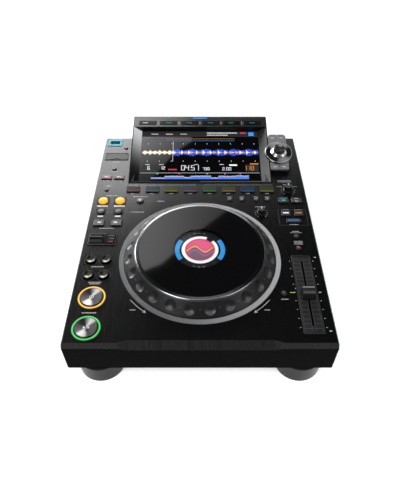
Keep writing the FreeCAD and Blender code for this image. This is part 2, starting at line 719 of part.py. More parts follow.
def case_screws():
    shapes = []
    for x, y in screw_places():
        head = turned([(0, 0), (SCREW_HEAD_RADIUS - SCREW_HEAD_EDGE, 0), (SCREW_HEAD_RADIUS, SCREW_HEAD_EDGE),
                       (SCREW_HEAD_RADIUS, SCREW_HEAD_HEIGHT), (0, SCREW_HEAD_HEIGHT)],
                      x, y, PAN_BOTTOM - SCREW_HEAD_HEIGHT)
        shank = rod(x, y, SCREW_SHANK_RADIUS, PAN_BOTTOM - 0.2, BODY_BOTTOM + SCREW_REACH)
        shapes.append(union([head, shank]))
    return Part.makeCompound(shapes)


def feet():
    top = FOOT_BODY_HEIGHT
    points = [(0, FOOT_DISH_DEPTH), (FOOT_DISH_RADIUS, FOOT_DISH_DEPTH), (FOOT_DISH_RADIUS, 0),
              (FOOT_RADIUS - FOOT_EDGE, 0), (FOOT_RADIUS - 0.3 * FOOT_EDGE, 0.3 * FOOT_EDGE),
              (FOOT_RADIUS, FOOT_EDGE), (FOOT_RADIUS, top - FOOT_EDGE / 2),
              (FOOT_RADIUS - FOOT_EDGE / 2, top), (FOOT_NECK_RADIUS, top),
              (FOOT_NECK_RADIUS, PAN_BOTTOM), (0, PAN_BOTTOM)]
    rows = (FRONT + FOOT_RADIUS, REAR - FOOT_REAR_INSET)
    return Part.makeCompound([turned(points, side * FOOT_SPACING / 2, y) for side in (-1, 1) for y in rows])


def rear_panel():
    panel = box(-SIDE + WALL, SIDE - WALL, REAR - WALL, REAR, BODY_BOTTOM, UNDER_DECK)
    panel = panel.cut(upright(INLET_X, INLET_BODY_WIDTH, INLET_BODY_HEIGHT, REAR - WALL - 1, REAR + 1))
    for x, size in jack_faces():
        panel = panel.cut(upright(x, size, size, REAR - WALL - 1, REAR + 1))
    return panel.cut(upright(LOCK_X, LOCK_SLOT_WIDTH, LOCK_SLOT_HEIGHT, REAR - WALL - 1, REAR + 1))


def upright(x, width, height, y0, y1, rise=0.0):
    """A box through the rear panel, centred on the row of sockets."""
    z = REAR_ROW + rise
    return box(x - width / 2, x + width / 2, y0, y1, z - height / 2, z + height / 2)


def jack_faces():
    faces = [(JACK_START_X + n * JACK_PITCH, RCA_FACE) for n in range(RCA_COUNT)]
    faces.append((JACK_START_X + RCA_COUNT * JACK_PITCH, LAN_FACE))
    faces.append((JACK_START_X + (RCA_COUNT + 1) * JACK_PITCH, USB_B_FACE))
    return faces


def signal_jacks():
    faces = jack_faces()
    shapes = []
    inner = REAR - WALL - JACK_DEPTH
    outer = REAR + JACK_PROUD
    for x, size in faces[:RCA_COUNT]:
        body = upright(x, size, size, inner, outer)
        barrel = rod_y(x, outer - 1, outer + RCA_LENGTH, REAR_ROW, RCA_BARREL)
        hole = rod_y(x, outer - 1, outer + RCA_LENGTH + 1, REAR_ROW, RCA_HOLE)
        shapes.append(union([body, barrel]).cut(hole))
    x, size = faces[RCA_COUNT]
    lan = upright(x, size, size, inner, outer)
    lan = lan.cut(upright(x, LAN_MOUTH_WIDTH, LAN_MOUTH_HEIGHT, outer - MOUTH_DEPTH, outer + 1))
    shapes.append(lan.cut(upright(x, LAN_MOUTH_WIDTH / 3, 2.0, outer - MOUTH_DEPTH, outer + 1,
                                  LAN_MOUTH_HEIGHT / 2 + 0.9)))
    x, size = faces[RCA_COUNT + 1]
    usb_b = upright(x, size, size, inner, outer)
    usb_b = usb_b.cut(upright(x, USB_B_MOUTH, USB_B_MOUTH, outer - MOUTH_DEPTH, outer + 1))
    tongue = upright(x, USB_B_TONGUE_WIDTH, USB_B_TONGUE_HEIGHT, outer - MOUTH_DEPTH - 1, outer - 2)
    shapes.append(union([usb_b, tongue]))
    return Part.makeCompound(shapes)


def ac_inlet():
    outer = REAR + INLET_PLATE_THICK
    plate = upright(INLET_X, INLET_PLATE_WIDTH, INLET_PLATE_HEIGHT, REAR, outer)
    body = upright(INLET_X, INLET_BODY_WIDTH, INLET_BODY_HEIGHT, REAR - INLET_BODY_DEPTH, REAR + 0.5)
    module = union([plate, body])
    x = INLET_X + IEC_OFFSET
    mouth = upright(x, IEC_WIDTH, IEC_HEIGHT, outer - IEC_DEPTH, outer + 1)
    upper = [e for e in mouth.Edges if abs(e.BoundBox.ZMin - REAR_ROW - IEC_HEIGHT / 2) < 1e-6
             and e.BoundBox.YLength > 1]
    module = module.cut(mouth.makeChamfer(IEC_CORNER, upper))
    pins = []
    for side, rise in ((-1, -PIN_ROW), (1, -PIN_ROW), (0, PIN_ROW)):
        pins.append(upright(x + side * PIN_SPREAD, PIN_THICK, PIN_WIDTH,
                            outer - IEC_DEPTH - 1, outer - IEC_DEPTH + PIN_LENGTH, rise))
    module = union([module] + pins)
    hollow = SWITCH_RADIUS + GAP
    well = upright(INLET_X + SWITCH_OFFSET, SWITCH_WIDTH + 2 * GAP, 2 * hollow,
                   outer - SWITCH_PIVOT_DEPTH - hollow, outer + 1)
    return module.cut(well)


def power_switch():
    """A rocker whose round back turns in the well of the inlet module."""
    x = INLET_X + SWITCH_OFFSET
    pivot_y = switch_pivot_y()
    half = SWITCH_WIDTH / 2
    rocker = rod_x(x - half, x + half, pivot_y, REAR_ROW, SWITCH_RADIUS)
    crest = SWITCH_PIVOT_DEPTH + 2.2
    valley = SWITCH_PIVOT_DEPTH + 0.6
    reach = SWITCH_RADIUS + 1
    notch = [(pivot_y + crest, REAR_ROW + SWITCH_RADIUS), (pivot_y + valley, REAR_ROW),
             (pivot_y + crest, REAR_ROW - SWITCH_RADIUS), (pivot_y + reach, REAR_ROW - reach),
             (pivot_y + reach, REAR_ROW + reach)]
    rocker = rocker.cut(side_prism(notch, x - half - 1, x + half + 1))
    return rocker


def switch_pivot_y():
    return REAR + INLET_PLATE_THICK - SWITCH_PIVOT_DEPTH


def jog_ring():
    ring = turned([(JOG_RING_INNER, -JOG_RING_SKIRT), (WELL_RADIUS, -JOG_RING_SKIRT), (WELL_RADIUS, 0),
                   (JOG_RING_OUTER, 0), (JOG_RING_OUTER, 0.5 * JOG_RING_HEIGHT),
                   (JOG_RING_OUTER - 0.6, JOG_RING_HEIGHT), (JOG_RING_INNER, JOG_RING_HEIGHT)],
                  0, JOG_Y, DECK)
    return ring


def jog_post():
    roof = WEB_TOP - GAP - JOG_DISPLAY_THICK
    points = [(POST_BORE, -WELL_DEPTH), (POST_FLANGE_RADIUS, -WELL_DEPTH),
              (POST_FLANGE_RADIUS, -WELL_DEPTH + POST_FLANGE_THICK),
              (POST_RADIUS, -WELL_DEPTH + POST_FLANGE_THICK), (POST_RADIUS, roof),
              (0, roof), (0, roof - POST_ROOF), (POST_BORE, roof - POST_ROOF)]
    return turned(points, 0, JOG_Y, DECK)


def jog_display():
    top = WEB_TOP - GAP
    points = [(0, top - JOG_DISPLAY_THICK), (POST_RADIUS, top - JOG_DISPLAY_THICK),
              (POST_RADIUS, top - 0.5), (POST_RADIUS - 0.5, top), (0, top)]
    return turned(points, 0, JOG_Y, DECK)


def platter():
    """The jog wheel: a dimpled cone on a web, with a hub that turns on the post."""
    bore = POST_RADIUS + HUB_FIT
    hub = bore + HUB_WALL
    hub_low = -WELL_DEPTH + POST_FLANGE_THICK + GAP
    inner = PLATTER_RADIUS - PLATTER_WALL
    web_low = WEB_TOP - WEB_THICK
    lip = RIM_OUTER + 0.4
    drop = PLATTER_WALL * math.sqrt(2) - PLATTER_WALL
    points = [(bore, hub_low), (hub, hub_low), (hub, web_low),
              (PLATTER_CONE_TOP_RADIUS - PLATTER_WALL, web_low),
              (inner, PLATTER_SKIRT_TOP - drop), (inner, PLATTER_SKIRT_BOTTOM),
              (PLATTER_RADIUS, PLATTER_SKIRT_BOTTOM), (PLATTER_RADIUS, PLATTER_SKIRT_TOP),
              (PLATTER_CONE_TOP_RADIUS + 0.6, PLATTER_CONE_TOP - 0.6),
              (PLATTER_CONE_TOP_RADIUS - 0.2, PLATTER_CONE_TOP), (lip, PLATTER_CONE_TOP),
              (lip, WEB_TOP), (bore, WEB_TOP)]
    wheel = turned(points, 0, JOG_Y, DECK)
    run = PLATTER_RADIUS - PLATTER_CONE_TOP_RADIUS
    rise = PLATTER_CONE_TOP - PLATTER_SKIRT_TOP
    face_length = math.hypot(run, rise)
    ball = (DIMPLE_RADIUS ** 2 + DIMPLE_DEPTH ** 2) / (2 * DIMPLE_DEPTH)
    out = (ball - DIMPLE_DEPTH) / face_length
    ball_radius = (PLATTER_RADIUS + PLATTER_CONE_TOP_RADIUS) / 2 + out * rise
    ball_height = DECK + (PLATTER_SKIRT_TOP + PLATTER_CONE_TOP) / 2 + out * run
    balls = []
    for index in range(DIMPLES):
        angle = 2 * math.pi * (index + 0.5) / DIMPLES
        centre = Vector(ball_radius * math.sin(angle), JOG_Y - ball_radius * math.cos(angle), ball_height)
        balls.append(Part.makeSphere(ball, centre))
    return wheel.cut(balls)


def platter_rim():
    points = [(GLASS_RADIUS, WEB_TOP), (RIM_OUTER, WEB_TOP), (RIM_OUTER, RIM_SHOULDER),
              (RIM_OUTER - 0.8, RIM_SHOULDER + 0.5), (GLASS_RADIUS + 0.3, GLASS_TOP + 0.1),
              (GLASS_RADIUS, GLASS_TOP + 0.1)]
    return turned(points, 0, JOG_Y, DECK)


def platter_glass():
    edge = 0.3
    points = [(0, WEB_TOP), (GLASS_RADIUS, WEB_TOP), (GLASS_RADIUS, GLASS_TOP - edge),
              (GLASS_RADIUS - edge, GLASS_TOP), (0, GLASS_TOP)]
    return turned(points, 0, JOG_Y, DECK)


def transport_rings():
    shapes = []
    for from_front in (PLAY_FROM_FRONT, CUE_FROM_FRONT):
        bore = PLAY_RADIUS + KEY_GAP
        points = [(bore, -WALL), (RING_NECK, -WALL), (RING_NECK, 0), (RING_OUTER, 0),
                  (RING_OUTER, 0.5 * RING_PROUD), (RING_OUTER - 0.8, RING_PROUD),
                  (bore + 0.6, RING_PROUD), (bore, RING_PROUD - 0.5)]
        shapes.append(turned(points, PLAY_X, FRONT + from_front, DECK))
    return Part.makeCompound(shapes)


def slider_plate():
    y = FRONT + SLIDER_FROM_FRONT
    plate = rounded_block(RIGHT_X, y, SLIDER_PLATE_WIDTH, SLIDER_PLATE_LENGTH,
                          DECK, DECK + SLIDER_PLATE_THICK, 1.5, 0.4)
    plate = plate.cut(block(RIGHT_X, y, SLIDER_PLATE_WIDTH - 3, SLIDER_PLATE_LENGTH - 3,
                            DECK + 0.6 * SLIDER_PLATE_THICK, DECK + 2))
    return plate.cut(block(RIGHT_X, y, SLIDER_SLOT_WIDTH, SLIDER_SLOT_LENGTH, DECK - 1, DECK + 2))


def slider_track():
    y = FRONT + SLIDER_FROM_FRONT
    body = block(RIGHT_X, y, TRACK_WIDTH, TRACK_LENGTH, UNDER_DECK - TRACK_DEPTH, UNDER_DECK)
    channel = block(RIGHT_X, y, TRACK_CHANNEL, SLIDER_SLOT_LENGTH,
                    UNDER_DECK - TRACK_DEPTH + PAN_THICK, UNDER_DECK + 1)
    return body.cut(channel)


def slider_travel():
    """How far the tempo slider goes to the front and to the back of its rest."""
    reach = SLIDER_SLOT_LENGTH / 2 - STEM_LENGTH / 2 - GAP
    return -reach - SLIDER_REST_OFFSET, reach - SLIDER_REST_OFFSET


def tempo_slider():
    y = FRONT + SLIDER_FROM_FRONT + SLIDER_REST_OFFSET
    low = DECK + SLIDER_PLATE_THICK + GAP
    top = low + CAP_HEIGHT
    half = CAP_LENGTH / 2
    outline = [(y - half, low), (y - half, low + CAP_WAIST), (y - half + 2.2, top - 0.6),
               (y - half + 3.0, top), (y - 1.4, top - 1.6), (y - 0.7, top - 2.2), (y + 0.7, top - 2.2),
               (y + 1.4, top - 1.6), (y + half - 3.0, top), (y + half - 2.2, top - 0.6),
               (y + half, low + CAP_WAIST), (y + half, low)]
    cap = side_prism(outline, RIGHT_X - CAP_WIDTH / 2, RIGHT_X + CAP_WIDTH / 2)
    stem = block(RIGHT_X, y, STEM_THICK, STEM_LENGTH, low - STEM_DEPTH, low + 1)
    return union([cap, stem])


def knob_places():
    return [(VINYL_X, VINYL_FROM_FRONT), (RIGHT_X, JOG_ADJUST_FROM_FRONT)]


def deck_knob(x, from_front, radius, height, flutes):
    """A turning knob with a skirt, grip flutes and a raised pointer."""
    y = FRONT + from_front
    low = DECK + GAP
    points = [(0, 0), (radius, 0), (radius, 1.2), (0.86 * radius, 1.6),
              (0.78 * radius, height - 0.6), (0.7 * radius, height), (0, height)]
    body = turned(points, x, y, low)
    cuts = []
    for index in range(flutes):
        angle = 2 * math.pi * (index + 0.5) / flutes
        cx = x + 0.88 * radius * math.sin(angle)
        cy = y + 0.88 * radius * math.cos(angle)
        cuts.append(rod(cx, cy, 0.11 * radius, low + 2.0, low + height + 1))
    body = body.cut(cuts)
    shaft = rod(x, y, SHAFT_RADIUS, BOARD_TOP + POT_HEIGHT + GAP, low + 1)
    pointer = box(x - 0.5, x + 0.5, y, y + 0.72 * radius, low + height - 0.5, low + height + 0.3)
    return union([body, shaft, pointer])


def direction_centre():
    return -SIDE + DIRECTION_INSET, FRONT + DIRECTION_FROM_FRONT


def lever_x():
    return direction_centre()[0] - DIRECTION_WIDTH / 2 + LEVER_WIDTH / 2 + LEVER_TUB_WALL


def lever_pivot_z():
    return DECK - LEVER_PIVOT_DROP


def direction_tub(grow, top):
    length = 2 * (LEVER_RADIUS + GAP + LEVER_TUB_WALL + grow)
    width = LEVER_WIDTH + 2 * (GAP + LEVER_TUB_WALL + grow)
    return block(lever_x(), direction_centre()[1], width, length, BOARD_TOP, top)


def direction_escutcheon():
    x, y = direction_centre()
    plate = rounded_block(x, y, DIRECTION_WIDTH, DIRECTION_LENGTH, DECK, DECK + DIRECTION_PLATE, 1.5, 0.4)
    tub = direction_tub(0.0, DECK + 0.5)
    left = lever_x() + LEVER_WIDTH / 2 + GAP + LEVER_TUB_WALL
    right = x + DIRECTION_WIDTH / 2 - 1.0
    window = rounded_block((left + right) / 2, y, right - left, DIRECTION_LENGTH - 3,
                           DECK + 0.5, DECK + DIRECTION_PLATE + INDICATOR_RISE, 1.0, 0.5)
    body = union([plate, tub, window])
    length = 2 * (LEVER_RADIUS + GAP)
    body = body.cut(block(lever_x(), y, LEVER_WIDTH + 2 * GAP, length, BOARD_TOP - 1, DECK + 5))
    pins = rod_x(lever_x() - LEVER_WIDTH / 2 - LEVER_PIN_LENGTH - GAP, lever_x() + LEVER_WIDTH / 2
                 + LEVER_PIN_LENGTH + GAP, y, lever_pivot_z(), LEVER_PIN_RADIUS + LEVER_FIT)
    return body.cut(pins)


def direction_lever():
    """A rocking lever: a round back that turns in its tub, with a finger fin."""
    x = lever_x()
    y = direction_centre()[1]
    z = lever_pivot_z()
    half = LEVER_WIDTH / 2
    drum = rod_x(x - half, x + half, y, z, LEVER_RADIUS)
    drum = drum.cut(box(x - half - 1, x + half + 1, y - 20, y + 20, z - 20, z - LEVER_FLAT))
    fin = rounded_block(x, y, LEVER_WIDTH, LEVER_FIN_THICK, z, z + LEVER_RADIUS + LEVER_FIN_HEIGHT, 0.9, 0.5)
    pin = rod_x(x - half - LEVER_PIN_LENGTH, x + half + LEVER_PIN_LENGTH, y, z, LEVER_PIN_RADIUS)
    return union([drum, fin, pin])


def usb_tub(grow, top):
    width = USB_MOUTH_WIDTH + 2 * (SD_FRAME_RAIL + grow)
    length = USB_MOUTH_LENGTH + 2 * (SD_FRAME_RAIL + grow)
    return block(-SIDE + USB_INSET, FRONT + USB_FROM_FRONT, width, length, DECK - USB_SOCKET_DEPTH, top)


def sd_door_size():
    width = SD_FRAME_WIDTH - 2 * SD_FRAME_RAIL - 2 * GAP
    length = SD_FRAME_LENGTH - 2 * SD_FRAME_RAIL - 2 * GAP
    return width, length


def sd_tub(grow, top):
    width, length = sd_door_size()
    return block(-SIDE + SD_INSET, FRONT + SD_FROM_FRONT, width + 2 * (GAP + 0.5 + grow),
                 length + 2 * (GAP + 0.5 + grow), DECK - SD_WELL_DEPTH - SD_FLOOR, top)


def media_ports():
    """The lit socket frame and the card well, each one moulding in the deck."""
    x = -SIDE + USB_INSET
    y = FRONT + USB_FROM_FRONT
    top = DECK + FRAME_RISE
    usb = union([rounded_block(x, y, USB_FRAME_WIDTH, USB_FRAME_LENGTH, DECK, top, 1.5, 0.4),
                 usb_tub(0.0, DECK + 0.5)])
    usb = usb.cut(block(x, y, USB_MOUTH_WIDTH, USB_MOUTH_LENGTH, DECK - USB_MOUTH_DEPTH, top + 1))
    socket_floor = DECK - USB_SOCKET_DEPTH + PAN_THICK
    usb = usb.cut(block(x, y, USB_SOCKET_WIDTH, USB_SOCKET_LENGTH, socket_floor, DECK))
    tongue = block(x, y + USB_TONGUE / 2, USB_SOCKET_WIDTH - 1.4, USB_TONGUE,
                   socket_floor - 0.5, DECK - USB_MOUTH_DEPTH - 1)
    usb = union([usb, tongue])
    x = -SIDE + SD_INSET
    y = FRONT + SD_FROM_FRONT
    width, length = sd_door_size()
    card = union([rounded_block(x, y, SD_FRAME_WIDTH, SD_FRAME_LENGTH, DECK, top, 1.0, 0.4),
                  sd_tub(0.0, DECK + 0.5)])
    door_low = top - DOOR_THICK
    card = card.cut(block(x, y, width + 2 * GAP, length + 2 * GAP, door_low - GAP, top + 1))
    card = card.cut(block(x, y, width - 2 * SD_LEDGE, length - 2 * SD_LEDGE, DECK - SD_WELL_DEPTH, top + 1))
    card = card.cut(block(x, y, SD_SLOT_WIDTH, SD_SLOT_LENGTH, DECK - SD_WELL_DEPTH - SD_FLOOR + 1, DECK))
    return Part.makeCompound([usb, card])


def door_hinge():
    """The (y, z) place of the card door's hinge line."""
    length = sd_door_size()[1]
    radius = DOOR_THICK / 2
    return FRONT + SD_FROM_FRONT + length / 2 - radius, DECK + FRAME_RISE - radius


def sd_door():
    x = -SIDE + SD_INSET
    width, length = sd_door_size()
    y, z = door_hinge()
    radius = DOOR_THICK / 2
    front = FRONT + SD_FROM_FRONT - length / 2
    leaf = box(x - width / 2, x + width / 2, front, y, z - radius, z + radius)
    knuckle = rod_x(x - width / 2, x + width / 2, y, z, radius)
    door = union([leaf, knuckle])
    nail = rod(x, front, 3.0, z, z + radius + 1)
    return door.cut(nail)


def slope_rim():
    return HOUSING_WIDTH / 2 - RECESS_RIM


def recess():
    """The sunk window: raked side and front walls down to the screen."""
    half = slope_rim()
    deep = -RECESS_DEPTH
    lean = RECESS_SIDE_SLOPE / RECESS_DEPTH
    cross = face([Vector(-half - lean, 0, 1), Vector(half + lean, 0, 1),
                  Vector(half - RECESS_SIDE_SLOPE, 0, deep), Vector(-half + RECESS_SIDE_SLOPE, 0, deep)])
    trough = cross.extrude(Vector(0, SLOPE_LENGTH, 0))
    back = RECESS_FRONT_SLOPE / RECESS_DEPTH
    profile = [(RECESS_START - back, 1), (RECESS_START + RECESS_FRONT_SLOPE, deep),
               (RECESS_END + RECESS_UNDERCUT, deep), (RECESS_END, 1)]
    return trough.common(side_prism(profile, -SIDE, SIDE))


def screen_pocket(low):
    half = slope_rim() - RECESS_SIDE_SLOPE + SCREEN_LEDGE
    start = RECESS_START + RECESS_FRONT_SLOPE - SCREEN_LEDGE
    end = RECESS_END + RECESS_UNDERCUT + SCREEN_LEDGE
    return box(-half, half, start, end, low, -RECESS_DEPTH)


def menu_key_places():
    along = SLOPE_LENGTH - MENU_FROM_HOOD_EDGE
    return [((n - (MENU_KEYS - 1) / 2) * MENU_PITCH, along) for n in range(MENU_KEYS)]


def display_housing():
    half = HOUSING_WIDTH / 2
    front = FRONT + HOUSING_FROM_FRONT
    edge = FRONT + HOOD_EDGE_FROM_FRONT
    back = FRONT + DEPTH
    back_top = DISPLAY_TOP - HOOD_BACK_DROP
    outline = [(front, DECK), (front, DECK + HOUSING_LIP), (edge, DISPLAY_TOP),
               (edge + HOOD_NOSE_RUN, DISPLAY_TOP - HOOD_NOSE_DROP),
               (back, back_top), (back, back_top - HOOD_BACK_HEIGHT),
               (REAR + HOOD_OVERHANG_START, DECK + HOOD_UNDERCUT), (REAR, DECK + HOOD_UNDERCUT), (REAR, DECK)]
    hood = side_prism(outline, -half, half)
    long_edge = [e for e in hood.Edges if e.BoundBox.XLength > half and e.BoundBox.ZMin > back_top - 0.5]
    hood = hood.makeFillet(HOUSING_ROUND, [e for e in long_edge if e.BoundBox.YMin > edge + 1])
    tub = on_slope(tub_outline(0.0, tub_floor(), -1.0))
    tub = tub.common(box(-SIDE, SIDE, FRONT, REAR - TUB_REAR_GAP, 0, DISPLAY_TOP))
    housing = hood.fuse(tub)
    housing = housing.cut(on_slope(recess()))
    housing = housing.cut(on_slope(screen_pocket(tub_floor() - 1)))
    for x, along in menu_key_places():
        pocket = block(x, along, MENU_KEY_WIDTH + 2 * GAP, MENU_KEY_LENGTH + 2 * GAP,
                       MENU_KEY_PROUD - MENU_KEY_THICK - SMALL_TRAVEL - GAP, 2)
        housing = housing.cut(on_slope(pocket))
    return housing.removeSplitter()


def display_glass():
    plate = screen_pocket(-RECESS_DEPTH - SCREEN_THICK)
    return on_slope(plate)


def lcd_module():
    module = screen_pocket(tub_floor())
    return on_slope(module.cut(screen_pocket(-RECESS_DEPTH - SCREEN_THICK)))


def menu_buttons():
    shapes = []
    for x, along in menu_key_places():
        key = rounded_block(x, along, MENU_KEY_WIDTH, MENU_KEY_LENGTH,
                            MENU_KEY_PROUD - MENU_KEY_THICK, MENU_KEY_PROUD, 1.0, 0.4)
        shapes.append(on_slope(key))
    return Part.makeCompound(shapes)


def selector_stems():
    """Places of the four selector keys' stems, across and along the slope."""
    x = SELECTOR_X
    side = SELECTOR_HALF_WIDTH / 2
    near = SELECTOR_START + SELECTOR_STEM_SIDE
    far = SELECTOR_END - 1.6 * SELECTOR_STEM_SIDE
    return [(x - side, near), (x + side, near), (x - side, far), (x + side, far)]


def selector_housing():
    inset = 1.0
    y0, z0 = slope_point(SELECTOR_START + inset, SELECTOR_DEPTH)
    y1, z1 = slope_point(SELECTOR_END - inset, SELECTOR_DEPTH)
    half = SELECTOR_HALF_WIDTH - inset
    wedge = side_prism([(y0, DECK), (y0, z0), (y1, z1), (y1, DECK)], SELECTOR_X - half, SELECTOR_X + half)
    side = SELECTOR_STEM_SIDE + 2 * GAP
    low = -SELECTOR_KEY_THICK - SELECTOR_STEM - KEY_TRAVEL - GAP
    for x, along in selector_stems():
        wedge = wedge.cut(on_slope(block(x, along, side, side, low, 0)))
    bore = rod(SELECTOR_X, SELECTOR_CENTRE, SHAFT_RADIUS + GAP, shaft_low() - KEY_TRAVEL - GAP, 5)
    return wedge.cut(on_slope(bore))


def shaft_low():
    return SELECTOR_DEPTH - 3.0


def browse_buttons():
    """Four keys round the selector, split in the middle, hollowed for its ring."""
    x = SELECTOR_X
    low = -SELECTOR_KEY_THICK
    half = SELECTOR_HALF_WIDTH
    split = SELECTOR_KEY_SPLIT / 2
    ring = rod(x, SELECTOR_CENTRE, SELECTOR_RING_RADIUS + 2 * GAP, low - 1, 5)
    rows = ((SELECTOR_START, SELECTOR_CENTRE - BROWSE_SPLIT, SELECTOR_NEAR_ROUND, SELECTOR_START),
            (SELECTOR_CENTRE + BROWSE_SPLIT, SELECTOR_END, SELECTOR_FAR_ROUND, SELECTOR_END))
    shapes = []
    stems = selector_stems()
    for start, end, corner, outer in rows:
        for side in (-1, 1):
            x0, x1 = sorted((x + side * split, x + side * half))
            key = box(x0, x1, start, end, low, 0)
            edge = [e for e in key.Edges if e.BoundBox.ZLength > 1
                    and abs(e.BoundBox.XMin - (x + side * half)) < 1e-6
                    and abs(e.BoundBox.YMin - outer) < 1e-6]
            key = key.makeFillet(corner, edge)
            rim = [e for e in key.Edges if abs(e.BoundBox.ZMin) < 1e-6 and abs(e.BoundBox.ZMax) < 1e-6]
            key = key.makeChamfer(0.4, rim).cut(ring)
            stem_x, along = stems[len(shapes)]
            stem = block(stem_x, along, SELECTOR_STEM_SIDE, SELECTOR_STEM_SIDE, low - SELECTOR_STEM, low + 1)
            shapes.append(on_slope(union([key, stem])))
    return Part.makeCompound(shapes)


def selector_ring():
    dish = SELECTOR_RING_TOP - SELECTOR_RING_DISH
    bore = SHAFT_RADIUS + GAP
    points = [(bore, SELECTOR_DEPTH), (SELECTOR_BOSS_RADIUS, SELECTOR_DEPTH), (SELECTOR_BOSS_RADIUS, 2 * GAP),
              (SELECTOR_RING_RADIUS, 2 * GAP), (SELECTOR_RING_RADIUS, SELECTOR_RING_TOP - 0.6),
              (SELECTOR_RING_RADIUS - 0.8, SELECTOR_RING_TOP),
              (SELECTOR_RING_RADIUS - 2.0, SELECTOR_RING_TOP),
              (SKIRT_RADIUS, dish), (bore, dish)]
    return on_slope(turned(points, SELECTOR_X, SELECTOR_CENTRE))


def knob_low():
    return SELECTOR_RING_TOP - SELECTOR_RING_DISH + KEY_TRAVEL + GAP


def selector_shaft():
    top = knob_low() + SKIRT_HEIGHT
    points = [(0, shaft_low()), (SHAFT_RADIUS, shaft_low()), (SHAFT_RADIUS, top), (0, top)]
    return on_slope(turned(points, SELECTOR_X, SELECTOR_CENTRE))


def selector_knob():
    low = knob_low()
    skirt = low + SKIRT_HEIGHT
    top = skirt + KNOB_HEIGHT
    bore = SHAFT_RADIUS + SHAFT_FIT
    points = [(bore, low), (SKIRT_RADIUS, low), (SKIRT_RADIUS, low + 0.8), (SKIRT_TOP_RADIUS, skirt),
              (KNOB_RADIUS, skirt), (KNOB_RADIUS, top - 1.0), (KNOB_RADIUS - 1.0, top), (3.0, top - 0.8),
              (0, top - 0.8), (0, skirt + GAP), (bore, skirt + GAP)]
    knob = turned(points, SELECTOR_X, SELECTOR_CENTRE)
    flutes = []
    for index in range(KNOB_FLUTES):
        angle = 2 * math.pi * index / KNOB_FLUTES
        x = SELECTOR_X + KNOB_RADIUS * math.sin(angle)
        y = SELECTOR_CENTRE + KNOB_RADIUS * math.cos(angle)
        flutes.append(rod(x, y, KNOB_FLUTE_RADIUS, skirt + 0.4, top + 1))
    return on_slope(knob.cut(flutes))


def main_board_box():
    x0 = -SIDE + WALL + MAIN_BOARD_SIDE_GAP
    x1 = SUPPLY_X - SUPPLY_WIDTH / 2 - MAIN_BOARD_SUPPLY_GAP
    return x0, x1, FRONT + MAIN_BOARD_START, REAR - MAIN_BOARD_REAR_GAP


def main_board_corners(inset):
    x0, x1, y0, y1 = main_board_box()
    return [(x, y) for x in (x0 + inset, x1 - inset) for y in (y0 + inset, y1 - inset)]


def circuit_boards():
    low = BOARD_TOP - BOARD_THICK
    margin = SMALL_BOARD_MARGIN

    def panel(x0, x1, d0, d1):
        return box(x0, x1, FRONT + d0, FRONT + d1, low, BOARD_TOP)

    def pot(x, from_front):
        return block(x, FRONT + from_front, POT_SIDE, POT_SIDE, BOARD_TOP - 0.2, BOARD_TOP + POT_HEIGHT)

    def around(x, from_front, reach):
        return panel(x - margin, x + margin, from_front - margin, from_front + reach)

    right = panel(BOARD_INNER, board_outer(), RIGHT_BOARD_START, HOUSING_FROM_FRONT)
    vinyl = around(VINYL_X, VINYL_FROM_FRONT, VINYL_BOARD_REACH)
    keys = union([
        panel(-board_outer(), -BOARD_INNER, LEFT_BOARD_START, LEFT_BOARD_END),
        union([right, pot(RIGHT_X, JOG_ADJUST_FROM_FRONT)]),
        panel(-BOARD_INNER, BOARD_INNER, CUE_BOARD_START, HOUSING_FROM_FRONT),
        union([vinyl, pot(VINYL_X, VINYL_FROM_FRONT)]),
        around(SIDE - RESET_INSET, RESET_FROM_FRONT, margin),
        around(-SIDE + STOP_INSET, STOP_FROM_FRONT, margin)])
    x0, x1, y0, y1 = main_board_box()
    base = PAN_FLOOR + MAIN_BOARD_LIFT
    main = [box(x0, x1, y0, y1, base, base + BOARD_THICK)]
    for across, along, size, height in BOARD_PARTS:
        main.append(block(x0 + across * (x1 - x0), y0 + along * (y1 - y0), size, size,
                          base, base + BOARD_THICK + height))
    return Part.makeCompound(list(keys.Solids) + [union(main)])


def power_supply():
    x = SUPPLY_X
    y = FRONT + SUPPLY_FROM_FRONT
    can = rounded_block(x, y, SUPPLY_WIDTH, SUPPLY_LENGTH, PAN_FLOOR, PAN_FLOOR + SUPPLY_HEIGHT, 2.0, 1.0)
    top = PAN_FLOOR + SUPPLY_HEIGHT
    for index in range(SUPPLY_VENTS):
        along = y + (index - (SUPPLY_VENTS - 1) / 2) * SUPPLY_VENT_PITCH
        can = can.cut(block(x, along, SUPPLY_WIDTH / 2, SUPPLY_VENT_WIDTH, top - SUPPLY_VENT_DEPTH, top + 1))
    return can


def export(name, shape):
    shape.exportStep("parts/%s.step" % name)


